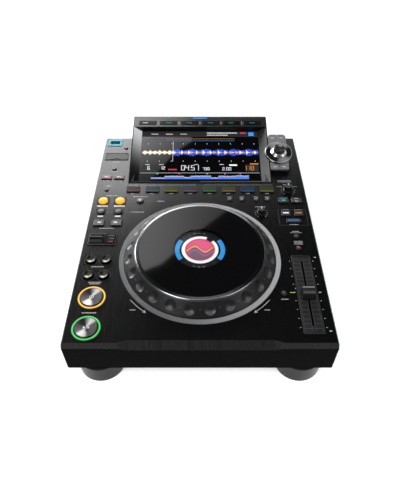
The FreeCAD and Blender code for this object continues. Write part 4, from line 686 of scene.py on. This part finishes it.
def deck_prints():
    """Labels, key surrounds, scales and lines on the deck."""
    white = Sheets("deck_white_print", print_ink, "root")
    grey = Sheets("deck_grey_print", grey_ink, "root")
    dark = Sheets("deck_dark_surrounds", gloss_plate, "root", on_deck, LIFT / 2)
    bars = Sheets("deck_label_bars", white_ink, "root")
    edges = Sheets("deck_block_edges", edge_ink, "root")
    for x in (LEFT_A, LEFT_B):
        dark.pierced(x, LOOP_ROW, 19.6, 17.6, 7.4).pierced(x, BEAT_ROW, 15.6, 13.6, 5.6)
        bars.rect(x, LOOP_ROW - 11.0, 16.0, 2.4).rect(x, BEAT_ROW - 9.0, 8.4, 2.6)
    for x0, x1, d in JOINING_LINES:
        grey.rect((x0 + x1) / 2, d, x1 - x0, 0.35)
    for _, d in SKIP_ROWS:
        for x in SKIP_KEYS:
            dark.pierced(x, d, 20.4, 17.6, 7.0)
            edges.arc(x, d, 9.2, 9.7)
    for word in LEFT_WORDS:
        white.word(*word)
    # Lines below the hood
    for d, line in ((296.0, 0.55), (293.2, 0.45)):
        for side in (-1, 1):
            grey.rect(side * 61.0, d, 108.0, line)
    # Hot cue figures and call keys
    for index in range(8):
        white.word((index - 3.5) * PAD_PITCH, 273.2, 6.0, 1.0)
    for x in CALL_KEYS:
        white.word(x, 265.0, 7.0, 1.1)
        dark.pierced(x, CALL_ROW, 11.0, 9.6, 4.15)
    # Scale marks of the two small knobs
    for (x, d), inner, outer in ((VINYL_KNOB, 8.2, 9.8), (ADJUST_KNOB, 9.6, 11.4)):
        for step in range(11):
            angle = math.radians(230 - 28 * step)
            c, s = math.cos(angle), math.sin(angle)
            white.line(x + inner * c, d + inner * s, x + outer * c, d + outer * s, 0.55)
    for word in RIGHT_WORDS:
        white.word(*word)
    edges.frame(RIGHT_X, 219.4, 42.0, 34.0, 0.6)
    for key in (RANGE_KEY, TEMPO_KEY):
        dark.pierced(*key, 12.0, 10.4, 4.15)
    dark.pierced(*RESET_KEY, 11.4, 10.4, 4.15)
    # Turning arrows beside the jog wheel
    for side, start, end in ((-1, 219.5, 234), (1, 320.5, 306)):
        white.arc(0, JOG_D, 114.3, 115.0, start, end)
        angle = math.radians(end)
        tip = (114.6 * math.cos(angle), JOG_D + 114.6 * math.sin(angle))
        back = math.radians(end + side * 2.0)
        for radius in (113.0, 116.4):
            white.line(radius * math.cos(back), JOG_D + radius * math.sin(back), *tip, 0.7)
        white.word(side * 84.0, 52.0, 7.0, 1.1)
    for sheets in (white, grey, dark, bars, edges):
        sheets.done()


def slider_marks():
    """Frame, cross lines and slot edge of the slider's plate, the lines on its cap, and a painted highlight
    strip along the cap's back edge.
    """
    light = Sheets("slider_scale", ink("slider_grey", (0.05, 0.05, 0.052), 0.35), "root", on_deck, 0.63)
    for step in range(8):
        for way in (-1, 1):
            for side in (-1, 1):
                light.rect(RIGHT_X + side * 6.0, SLIDER_ROW + way * (7.0 + step * 6.9), 8.6, 0.6)
    for side in (-1, 1):
        light.rect(RIGHT_X + side * 1.75, SLIDER_ROW, 0.4, 116.0)
        light.rect(RIGHT_X + side * 10.9, SLIDER_ROW, 0.4, 118.0)
    light.done()
    white = Sheets("slider_zero_marks", white_ink, "root")
    for side in (-1, 1):
        white.rect(RIGHT_X + side * 16.6, SLIDER_ROW, 3.2, 0.7)
        for step in (-4, -3, -2, -1, 1, 2, 3, 4):
            white.rect(RIGHT_X + side * 15.9, SLIDER_ROW + step * 13.4, 1.4, 0.5)
    white.word(RIGHT_X + 19.8, 140.0, 3.0).word(RIGHT_X + 19.8, 21.0, 3.0).done()
    rim = Sheets("slider_plate_rim", ink("rim_grey", (0.022, 0.022, 0.023), 0.35), "root", on_deck, 1.03)
    rim.frame(RIGHT_X, SLIDER_ROW, 25.0, 125.6, 0.7).done()
    line = Sheets("slider_cap_line", ink("cap_grey", (0.1, 0.1, 0.102)), "tempo_slider", on_deck, 9.2)
    line.rect(RIGHT_X, CAP_ROW, 15.4, 0.7).done()
    # Painted highlight: a pale strip along the cap's raised back edge
    cap_highlight = ink("cap_edge", (0.24, 0.24, 0.245), 0.3)
    edge = Sheets("slider_cap_edges", cap_highlight, "tempo_slider", on_deck, 11.33)
    edge.rect(RIGHT_X, CAP_ROW + 5.0, 15.2, 1.4).done()
    lit = Sheets("slider_lamps", lamp("yellow_green_lamp", (0.5, 0.55, 0.08), 0.9), "root")
    lit.rect(RIGHT_X - 19.0, 79.4, 6.0, 0.9).done()
    Sheets("slider_blue_lamp", blue_lamp, "root").rect(RIGHT_X - 14.2, 86.0, 1.4, 1.4).done()


def key_marks():
    """Symbols and lit windows on the keys, each riding its key, and painted highlights on the memory and
    reloop keys.
    """
    def mark(body, finish, top, name=None):
        return Sheets(name or body + "_mark", finish, body, on_deck, top + LIFT)

    play = mark("play_button", white_ink, DISH_TOP).arrow(PLAY_X, PLAY_ROW, 1, 3.4, -0.2, 1.7)
    for x in (1.6, 3.4):
        play.rect(PLAY_X + x, PLAY_ROW, 0.9, 3.2)
    play.done()
    mark("cue_button", white_ink, DISH_TOP).arc(PLAY_X, CUE_ROW, 2.0, 2.7).disc(PLAY_X, CUE_ROW, 0.9).done()
    for name, way, x in (("back", -1, LEFT_A), ("forward", 1, LEFT_B)):
        jump = mark("beat_jump_%s_button" % name, white_ink, FLAT_TOP).arrow(x, JUMP_ROW, way, 1.8, 2.2, 2.0)
        jump.rect(x - way * 3.2, JUMP_ROW, 0.7, 3.6).done()
    for beats, x in ((4, LEFT_A), (8, LEFT_B)):
        mark("beat_loop_%d_button" % beats, grey_ink, DOME_TOP).rect(x, BEAT_ROW, 2.6, 0.8).done()
    for row, d in SKIP_ROWS:
        for name, way, x in zip(("back", "forward"), (-1, 1), SKIP_KEYS):
            skip = mark("%s_%s_button" % (row, name), black_ink, DISH_TOP)
            for shift in (-1.0, 1.2):
                skip.arrow(x + way * shift, d, way, 0.9, 0.9, 1.3)
            if row == "track":
                skip.rect(x + way * 2.6, d, 0.5, 2.6)
            skip.done()
    mark("mode_buttons", dim_red_lamp, FLAT_TOP).rect(MODE_KEYS[0], MODE_ROW, 14.0, 6.6).done()
    deep_red = lamp("deep_red_lamp", (0.12, 0.02, 0.02), 0.5)
    mark("mode_buttons", deep_red, FLAT_TOP, "quantize_mark").rect(MODE_KEYS[1], MODE_ROW, 14.0, 6.6).done()
    signs = mark("mode_buttons", white_ink, FLAT_TOP + LIFT, "mode_key_signs")
    for x in MODE_KEYS:
        signs.word(x, MODE_ROW, 7.0, 1.4)
    signs.done()
    rounds = mark("mode_buttons", white_ink, SMALL_TOP, "mode_round_signs")
    rounds.disc(-127.2, 392.0, 0.8).disc(-140.1, 334.4, 0.8).done()
    # Painted highlights: small white bars on the memory keys' tops
    memory = mark("memory_buttons", white_ink, SMALL_TOP)
    for x in CALL_KEYS:
        memory.rect(x, CALL_ROW, 2.2, 0.7)
    memory.done()
    mark("sync_buttons", white_lamp, FLAT_TOP).rect(RIGHT_X - SYNC_SHIFT, SYNC_ROW, 8.6, 2.6).done()
    amber = mark("sync_buttons", lamp("dim_amber_lamp", (0.6, 0.26, 0.03), 0.7), FLAT_TOP, "sync_amber_word")
    amber.word(RIGHT_X + SYNC_SHIFT, SYNC_ROW, 9.4, 2.2).done()
    blue = mark("sync_buttons", lamp("dim_blue_lamp", (0.03, 0.2, 0.5), 0.8), FLAT_TOP, "sync_blue_word")
    blue.word(RIGHT_X, MASTER_ROW, 16.0, 2.4).rect(RIGHT_X - 10.0, 260.4, 11.0, 1.8).done()
    mark("sync_buttons", green_lamp, FLAT_TOP, "jog_mode_sign").rect(RIGHT_X - 10.0, 255.6, 6.0, 1.4).done()
    arcs = mark("sync_buttons", white_ink, FLAT_TOP, "jog_mode_arcs")
    for start in (30, 210):
        arcs.arc(RIGHT_X + 10.0, 256.4, 3.0, 3.6, start, start + 120)
    arcs.done()
    # Painted highlight: a glowing disc on the reloop key's dome
    glint = lamp("loop_glint", (0.6, 0.62, 0.16), 0.8)
    mark("reloop_button", glint, DOME_TOP, "reloop_button_glint").disc(RELOOP_X, LOOP_ROW, 1.7).done()
    mark("tempo_buttons", red_lamp, SMALL_TOP).line(RIGHT_X - 1.8, 158.4, RIGHT_X + 1.8, 155.4, 1.0).done()
    rounds = mark("tempo_buttons", grey_ink, SMALL_TOP, "tempo_round_signs")
    rounds.disc(*RANGE_KEY, 0.8).disc(*RESET_KEY, 0.8).done()
    mark("root", red_lamp, DISH_TOP, "direction_window").word(DIRECTION_X, 167.6, 7.0, 1.3).done()
    names = mark("root", grey_ink, DISH_TOP, "direction_names")
    names.word(DIRECTION_X, 179.4, 9.0).word(DIRECTION_X, 173.6, 7.0).done()
    mark("root", grey_ink, 1.2, "direction_bracket").frame(-138.0, 173.8, 39.0, 21.0, 0.6).done()
    for node, (x, d), top in (("vinyl_speed_knob", VINYL_KNOB, 8.6), ("jog_adjust_knob", ADJUST_KNOB, 10.6)):
        mark(node, white_ink, top, node + "_pointer").rect(x, d + 2.6, 1.0, 4.6).done()
    browse = Sheets("browse_signs", white_ink, "browse_buttons", on_slope)
    for along in (33.0, 95.0):
        for x in (122.4, 136.8):
            browse.word(x, along, 5.4)
    browse.done()


def hood_marks():
    """Menu signs, the light bar and the bright rim of the selector's ring."""
    key_top = 0.5 + LIFT
    first = Sheets("menu_signs", white_ink, "menu_buttons", on_slope, key_top)
    first.word(-2.5 * MENU_PITCH - 4, MENU_ROW, 9.0, 1.6).done()
    teal = Sheets("menu_teal_signs", teal_lamp, "menu_buttons", on_slope, key_top)
    ticks = Sheets("menu_ticks", white_ink, "root", on_slope)
    for n in range(1, 6):
        x = (n - 2.5) * MENU_PITCH
        teal.word(x, MENU_ROW, 9.0, 1.6)
        ticks.rect(x - 18.0, MENU_ROW, 0.35, 6.4)
    teal.done()
    ticks.done()
    Sheets("hood_light_bar", blue_lamp, "root", on_slope).rect(0.0, 140.4, 24.0, 1.6).done()
    rim = Sheets("selector_ring_rim", steel, "root", on_slope, 3.2 + LIFT)
    rim.arc(SELECTOR_X, SELECTOR_S, 21.0, 21.7).done()


HEADER_ROW = 114.6
WAVE_ROW = 73.5
WAVE_START = -45.0
WAVE_BARS = 286
BAR_PITCH = 0.5
OVERVIEW_LEFT = -79.5
OVERVIEW_ROW = 17.2
OVERVIEW_LEVELS = [2.0] * 22 + [5.5] * 32 + [3.0] * 10 + [6.0] * 34 + [2.4] * 12 + [5.6] * 30 + [6.6] * 20


def wave_bars(sheets, x0, x1, heights):
    """Upright bars about the waveform's middle line."""
    for n, height in enumerate(heights):
        x = x0 + (n + 0.5) * BAR_PITCH
        if x < x1:
            sheets.rect(x, WAVE_ROW, BAR_PITCH * 0.96, height)
    sheets.done()


def screen_art():
    """The display's picture: bands, bars and figures."""
    def layer(name, color, strength, level):
        finish = lamp("screen_" + name, color, strength)
        return Sheets("screen_" + name, finish, "root", on_screen, LIFT * level, "lcd")

    header = layer("header", (0.028, 0.029, 0.032), 0.6, 1).rect(0.0, HEADER_ROW, 198.0, 12.2)
    header.rect(-84.0, 40.0, 22.0, 14.0).rect(86.0, 40.0, 22.0, 14.0).done()
    white = layer("white", (0.85, 0.87, 0.9), 0.9, 2)
    for x in (-78.0, -53.0, -28.0):
        white.word(x, HEADER_ROW, 12.0)
    white.word(38.0, 117.2, 52.0, 1.9).word(30.0, 112.4, 36.0, 1.5).done()
    blue = layer("blue", (0.05, 0.28, 0.85), 0.9, 2)
    blue.rect(88.0, HEADER_ROW, 9.0, 8.0).rect(0.0, 99.4, 118.0, 0.5).done()
    orange = layer("orange", (0.75, 0.24, 0.03), 0.8, 2).rect(0.0, 103.8, 118.0, 0.6)
    orange.digits("118", 72.0, 40.0, 9.0, 0.75).rect(90.0, 48.8, 14.0, 2.2).done()
    red = layer("red", (0.85, 0.05, 0.12), 0.8, 2)
    red.rect(74.0, 117.0, 10.0, 2.6).word(-45.0, 37.0, 15.0, 2.4).done()
    # Close waveform: a tapering cream part, then a blue band with a warm core
    taper = [2.0 + 7.0 * abs(math.sin(n * 0.19)) ** 3 * random.uniform(0.3, 1.0) + random.uniform(0.5, 4.0)
             for n in range(102)]
    wave_bars(layer("cream", (0.85, 0.78, 0.6), 0.9, 2), -97.0, -46.0, taper)
    beats = [9.0 + random.uniform(0.0, 5.0) - 3.0 * (n % 27 > 21) + 3.0 * math.sin(n * 0.13)
             for n in range(WAVE_BARS)]
    wave_bars(layer("wave_blue", (0.02, 0.09, 0.62), 0.9, 2), WAVE_START, 98.0, beats)
    warm = [max(0.8, 7.0 * (1 - (n % 19) / 15)) * random.uniform(0.5, 1.0) for n in range(WAVE_BARS)]
    wave_bars(layer("wave_orange", (0.85, 0.36, 0.12), 0.85, 3), WAVE_START, 98.0, warm)
    spikes = layer("wave_white", (0.9, 0.9, 0.95), 0.9, 4)
    for n in range(WAVE_BARS):
        near = (n + 4 * (n // 40)) % 27
        if near < 7:
            height = (11.0 - 1.6 * near) * random.uniform(0.6, 1.0)
            spikes.rect(WAVE_START + 0.3 + BAR_PITCH * n, WAVE_ROW, 0.46, height)
    spikes.rect(-45.6, 76.0, 0.5, 44.0)
    # Grid marks, figures and overview
    for n in range(10):
        for along in (92.6, 54.6):
            spikes.rect(-88.0 + n * 20.0, along, 0.5, 2.6)
    spikes.digits("6", -87.0, 40.2, 7.4, 0.8).digits("12", -66.0, 40.2, 6.4, 0.7)
    spikes.digits("04:51", -31.0, 40.6, 10.4, 0.85).digits("730", 4.5, 38.4, 5.6, 0.7)
    spikes.digits("2.00", 37.0, 38.4, 6.4, 0.65).rect(55.0, 46.2, 13.0, 3.0)
    for x in (-87.0, -64.0, -6.0, 36.0):
        spikes.word(x, 47.4, 7.0, 1.0)
    spikes.rect(0.0, 29.8, 196.0, 0.4).done()
    heights = [level * random.uniform(0.8, 1.1) for level in OVERVIEW_LEVELS]
    low = layer("overview_blue", (0.06, 0.22, 0.8), 0.9, 2)
    tops = layer("overview_tops", (0.95, 0.6, 0.3), 0.9, 3)
    for n, height in enumerate(heights):
        x = OVERVIEW_LEFT + n
        low.rect(x, OVERVIEW_ROW + height / 2, 0.96, height)
        tops.rect(x, OVERVIEW_ROW + height + 0.4, 0.96, 0.9 + 1.2 * random.random() * (n % 7 == 0))
    low.done()
    tops.done()
    for name, color, places in (("cue_green", (0.1, 0.8, 0.2), (-70.0, 12.0)),
                                ("cue_red", (0.9, 0.1, 0.1), (-34.0,)),
                                ("cue_violet", (0.5, 0.2, 0.9), (41.0, 66.0))):
        dots = layer(name, color, 0.9, 4)
        for x in places:
            dots.rect(x, 28.0, 2.2, 2.0)
        dots.done()


def jog_picture():
    """Bands of colour that wave across the disc."""
    art = Finish("jog_picture", (0.05, 0.05, 0.05), 0.25)
    wave = art.times(art.math("SINE", art.times(art.axis("X"), 0.22)), 5.0)
    height = art.math("ADD", art.math("SUBTRACT", art.axis("Y"), JOG_Y), wave)
    ramp = art.node("ShaderNodeValToRGB")
    ramp.color_ramp.interpolation = "CONSTANT"
    stops = ((0.0, (0.10, 0.015, 0.09)), (0.2, (0.3, 0.02, 0.2)), (0.34, (0.05, 0.01, 0.05)),
             (0.46, (0.95, 0.28, 0.03)), (0.58, (0.75, 0.02, 0.12)), (0.74, (0.85, 0.015, 0.2)))
    while len(ramp.color_ramp.elements) < len(stops):
        ramp.color_ramp.elements.new(0.5)
    for element, (place, color) in zip(ramp.color_ramp.elements, stops):
        element.position = place
        element.color = (*color, 1.0)
    art.feed(art.span(height, -18.0, 18.0), ramp.inputs["Fac"])
    return art.glow(ramp.outputs["Color"], 0.8)


def jog_art():
    """The round display's picture: side arcs, rings and a banded disc."""
    def layer(name, finish, level):
        return Sheets("jog_" + name, finish, "root", on_jog, LIFT * level, "lcd")

    ground = lamp("jog_ground", (0.008, 0.009, 0.011), 0.6)
    layer("ground", ground, 1).disc(0, 0, JOG_SCREEN_RADIUS, 96).done()
    blue = layer("blue_arcs", lamp("jog_blue", (0.03, 0.26, 0.62), 0.9), 2)
    blue.arc(0, 0, 27.6, 33.8, 146, 214).arc(0, 0, 27.6, 33.8, -34, 34).done()
    layer("white_ring", white_lamp, 2).arc(0, 0, 20.2, 24.8, 66, 402).done()
    words = layer("grey_words", grey_ink, 2)
    for start in (76, 88, 100, 252, 264, 276):
        words.arc(0, 0, 30.4, 31.4, start, start + 7)
    words.done()
    layer("red_ring", red_lamp, 2).arc(0, 0, 18.6, 19.9).done()
    layer("picture", jog_picture(), 3).disc(0, 0, 18.4, 72).done()


def platter_dots():
    """Small raised dots between the dimples, square to the platter's slope."""
    finish = plastic("dot_black", (0.006, 0.006, 0.006), 0.3)
    dots = 24
    reach = 95.5
    sides = 16
    for index in range(dots):
        angle = 2 * math.pi * index / dots
        out = Vector((math.sin(angle), -math.cos(angle), 0))
        side = Vector((math.cos(angle), math.sin(angle), 0))
        normal = (out + Vector((0, 0, 1))).normalized()
        up = normal.cross(side)
        centre = Vector((0, JOG_Y, DECK + 10.0)) + out * reach
        rings = []
        for size, lift in ((1.2, -0.2), (1.2, 0.25), (0.8, 0.45)):
            rings.append([centre + normal * lift + side * x + up * y
                          for x, y, _ in circle(0, 0, 0, size, sides)])
        solid("platter_dot_%02d" % index, rings, finish, "platter")


def rear_details():
    """Contacts, coloured sleeves, screws and printed rows on the back, with painted shade in its grille slots
    and screw recesses.
    """
    outer = REAR + 0.8
    gold = metal("gold_contact", (0.83, 0.6, 0.25), 0.25)
    sleeves = (("white", (0.6, 0.6, 0.58)), ("red", (0.45, 0.02, 0.02)), ("orange", (0.6, 0.2, 0.02)))
    for n, (name, color) in enumerate(sleeves):
        x = JACK_X + n * JACK_PITCH
        rings = [circle_y(x, outer + back, JACK_ROW, radius)
                 for back, radius in ((0.02, 5.6), (1.6, 5.6), (1.6, 4.25), (0.02, 4.25))]
        sleeve = plastic("sleeve_" + name, color, 0.4)
        solid("jack_sleeve_%d" % (n + 1), rings + rings[:1], sleeve, "root", False)
        pin = [circle_y(x, outer + back, JACK_ROW, 1.5, 16) for back in (1.0, 8.6)]
        solid("jack_pin_%d" % (n + 1), pin, gold, "root")
    contacts = Sheets("network_contacts", gold, "root", on_back, -6.0, "steel")
    for n in range(8):
        contacts.rect(60.0 + (n - 3.5) * 1.1, 61.2, 0.5, 1.4)
    contacts.done()
    labels = Sheets("rear_print", white_ink, "root", on_back)
    for n, width in enumerate((9.0, 9.0, 12.0, 8.0, 6.0)):
        labels.word(-JACK_X - n * JACK_PITCH, 69.6, width, 1.4)
    labels.word(-118.0, 75.8, 16.0, 1.4).word(-60.0, 63.0, 8.0).frame(108.0, 60.4, 64.0, 27.0, 0.4).done()
    # Painted shade in the grille's slots
    grille = Sheets("rear_slots", hole_shade_black, "root", on_back, LIFT / 2)
    for n in range(12):
        grille.rect(22.0 - n * 5.0, JACK_ROW, 2.4, 18.0)
    grille.done()
    screw_nickel = metal("screw_nickel", (0.16, 0.16, 0.165), 0.38)
    head = ((0.02, 3.0), (1.0, 3.0), (1.5, 2.2))
    for n, (x, z) in enumerate(REAR_SCREWS):
        rings = [circle_y(x, REAR + back, z, radius, 24) for back, radius in head]
        solid("rear_screw_%d" % (n + 1), rings, screw_nickel, "root")
        # Painted shade in each screw head's cross recess
        slots = Sheets("rear_screw_slot_%d" % (n + 1), hole_shade_black, "root", on_back, 1.53)
        slots.rect(-x, z, 3.0, 0.7).rect(-x, z, 0.7, 3.0).done()


def foot_pads():
    """A rubber pad and a base ring under each foot."""
    places = [(x, FRONT + d) for d in (30.2, 385.8) for x in (-129.5, 129.5)]
    section = ((0.3, 29.0), (0.3, 30.15), (1.9, 30.15), (1.9, 29.0))
    for n, (x, y) in enumerate(places):
        pad = [circle(x, y, z, 21.6) for z in (0.02, 0.9)]
        solid("foot_pad_%d" % (n + 1), pad, rubber, "root")
        base = [circle(x, y, z, radius) for z, radius in section]
        solid("foot_base_%d" % (n + 1), base + base[:1], foot_finish, "root", False)


def port_marks():
    """A lit line, the floor of the socket's mouth and the card door's sign."""
    x, d = SOCKET
    Sheets("deck_blue_lamps", blue_lamp, "root").rect(x, d - 8.4, 12.0, 0.9).done()
    brown = plastic("socket_brown", (0.03, 0.012, 0.008), 0.5)
    mouth = Sheets("socket_mouth_floor", brown, "root", on_deck, -5.46)
    mouth.rect(x, d + 3.5, 15.6, 1.6).rect(x, d - 3.5, 15.6, 1.6).done()
    Sheets("door_marks", grey_ink, "sd_door", on_deck, 1.0 + LIFT).word(-140.0, 366.0, 9.0, 1.4).done()


deck_prints()
slider_marks()
key_marks()
hood_marks()
screen_art()
jog_art()
platter_dots()
rear_details()
foot_pads()
port_marks()


# Stage, lamps and camera, in metres

FLOOR_LIFT = 0.45
FLOOR_RINGS = ((0.0, 0.0), (0.6, 0.0), (2.0, 0.0), (5.0, 0.0), (5.8, 0.15), (6.4, 0.6),
               (6.6, 1.4), (6.7, 2.4))


def stage_nodes(name):
    nodes = Nodes(name)
    nodes.tree.nodes.clear()
    return nodes


def white_light(nodes, strength):
    emit = nodes.node("ShaderNodeEmission")
    emit.inputs["Color"].default_value = (1.0, 1.0, 1.0, 1.0)
    nodes.feed(strength, emit.inputs["Strength"])
    return emit.outputs[0]


def show(nodes, shader):
    nodes.feed(shader, nodes.node("ShaderNodeOutputMaterial").inputs["Surface"])


def floor():
    """A white floor that rises to a low wall all round, brightened only where it is seen."""
    sides = 64
    nodes = stage_nodes("floor_white")
    path = nodes.node("ShaderNodeLightPath")
    mirrored = nodes.math("ADD", path.outputs["Is Glossy Ray"], path.outputs["Is Transmission Ray"])
    seen = nodes.math("ADD", path.outputs["Is Camera Ray"], mirrored)
    seen.node.use_clamp = True
    diffuse = nodes.node("ShaderNodeBsdfDiffuse")
    diffuse.inputs["Color"].default_value = (0.8, 0.8, 0.8, 1.0)
    both = nodes.node("ShaderNodeAddShader")
    nodes.feed(diffuse.outputs[0], both.inputs[0])
    nodes.feed(white_light(nodes, nodes.times(seen, FLOOR_LIFT)), both.inputs[1])
    show(nodes, both.outputs[0])
    points = [point for radius, z in FLOOR_RINGS for point in circle(0.0, 0.0, z, radius, sides)]
    piece = mesh_piece("floor", points, walls(len(FLOOR_RINGS), sides), nodes.material)
    for face in piece.data.polygons:
        face.use_smooth = True


def card():
    """A soft sheet behind and to the left and a low one over the hood, seen only in the glossy faces."""
    tall = ((-2.2, 0.35), (0.55, 0.35), (0.111, 1.036), (0.004, 1.15), (-0.185, 1.38),
            (-0.4, 1.5), (-2.2, 1.5))
    low = ((-0.30, 0.16), (-0.125, 0.16), (-0.104, 0.192), (-0.076, 0.23), (-0.053, 0.259), (-0.017, 0.285),
           (-0.02, 0.297), (-0.02, 0.34), (-0.30, 0.34))
    nodes = stage_nodes("card_light")
    place = nodes.parts(nodes.node("ShaderNodeTexCoord").outputs["Object"])
    rise = nodes.span(place["Z"], 0.62, 0.95, 34.0, 2.2)
    across = nodes.span(place["X"], -0.3, 0.15, 1.0, 0.3)
    # The low sheet holds one level per zone: the glass in front, the hood's top strip behind
    glass = nodes.span(place["Y"], 0.19, 0.29, 0.033, 0.18)
    strip = nodes.span(place["Y"], 0.296, 0.302, 1.0, 5.5)
    fade = nodes.span(place["X"], -0.16, -0.02, 1.0, 0.35)
    level = nodes.node("ShaderNodeMix")
    nodes.feed(nodes.span(place["Z"], 0.31, 0.34), level.inputs[0])
    nodes.feed(nodes.times(nodes.times(glass, strip), nodes.times(fade, rise)), level.inputs[2])
    nodes.feed(nodes.times(rise, across), level.inputs[3])
    show(nodes, white_light(nodes, level.outputs[0]))
    points = [(x, 1.0, z) for x, z in tall] + [(x, y, 0.3) for x, y in low]
    faces = [list(range(len(tall))), list(range(len(tall), len(points)))]
    piece = mesh_piece("card", points, faces, nodes.material)
    piece.visible_camera = False
    piece.visible_diffuse = False
    piece.visible_shadow = False


def area_light(name, place, size, power):
    """A round lamp aimed at the part."""
    data = bpy.data.lights.new(name, "AREA")
    data.shape = "DISK"
    data.size = size
    data.energy = power
    light = placed(name, data)
    light.location = place
    light.rotation_euler = (Vector((0, 0, 0.05)) - Vector(place)).to_track_quat("-Z", "Y").to_euler()


def lighting():
    world = bpy.data.worlds.new("world")
    world.use_nodes = True
    background = world.node_tree.nodes["Background"]
    background.inputs["Color"].default_value = (0.9, 0.92, 1.0, 1.0)
    background.inputs["Strength"].default_value = 0.06
    bpy.context.scene.world = world
    area_light("key_light", (-1.6, -1.6, 2.6), 1.6, 95.0)
    area_light("fill_light", (2.2, -1.2, 2.2), 2.0, 45.0)
    area_light("top_light", (0.2, 0.3, 3.2), 1.6, 40.0)


def camera():
    data = bpy.data.cameras.new("camera")
    data.lens = 34.835
    data.sensor_width = 36.0
    data.clip_start = 0.02
    data.clip_end = 50.0
    eye = placed("camera", data)
    eye.location = (0.0, -0.5288, 0.5777)
    eye.rotation_euler = (math.radians(42.783), 0.0, 0.0)
    bpy.context.scene.camera = eye


floor()
card()
lighting()
camera()
bpy.context.scene.view_settings.view_transform = "Standard"
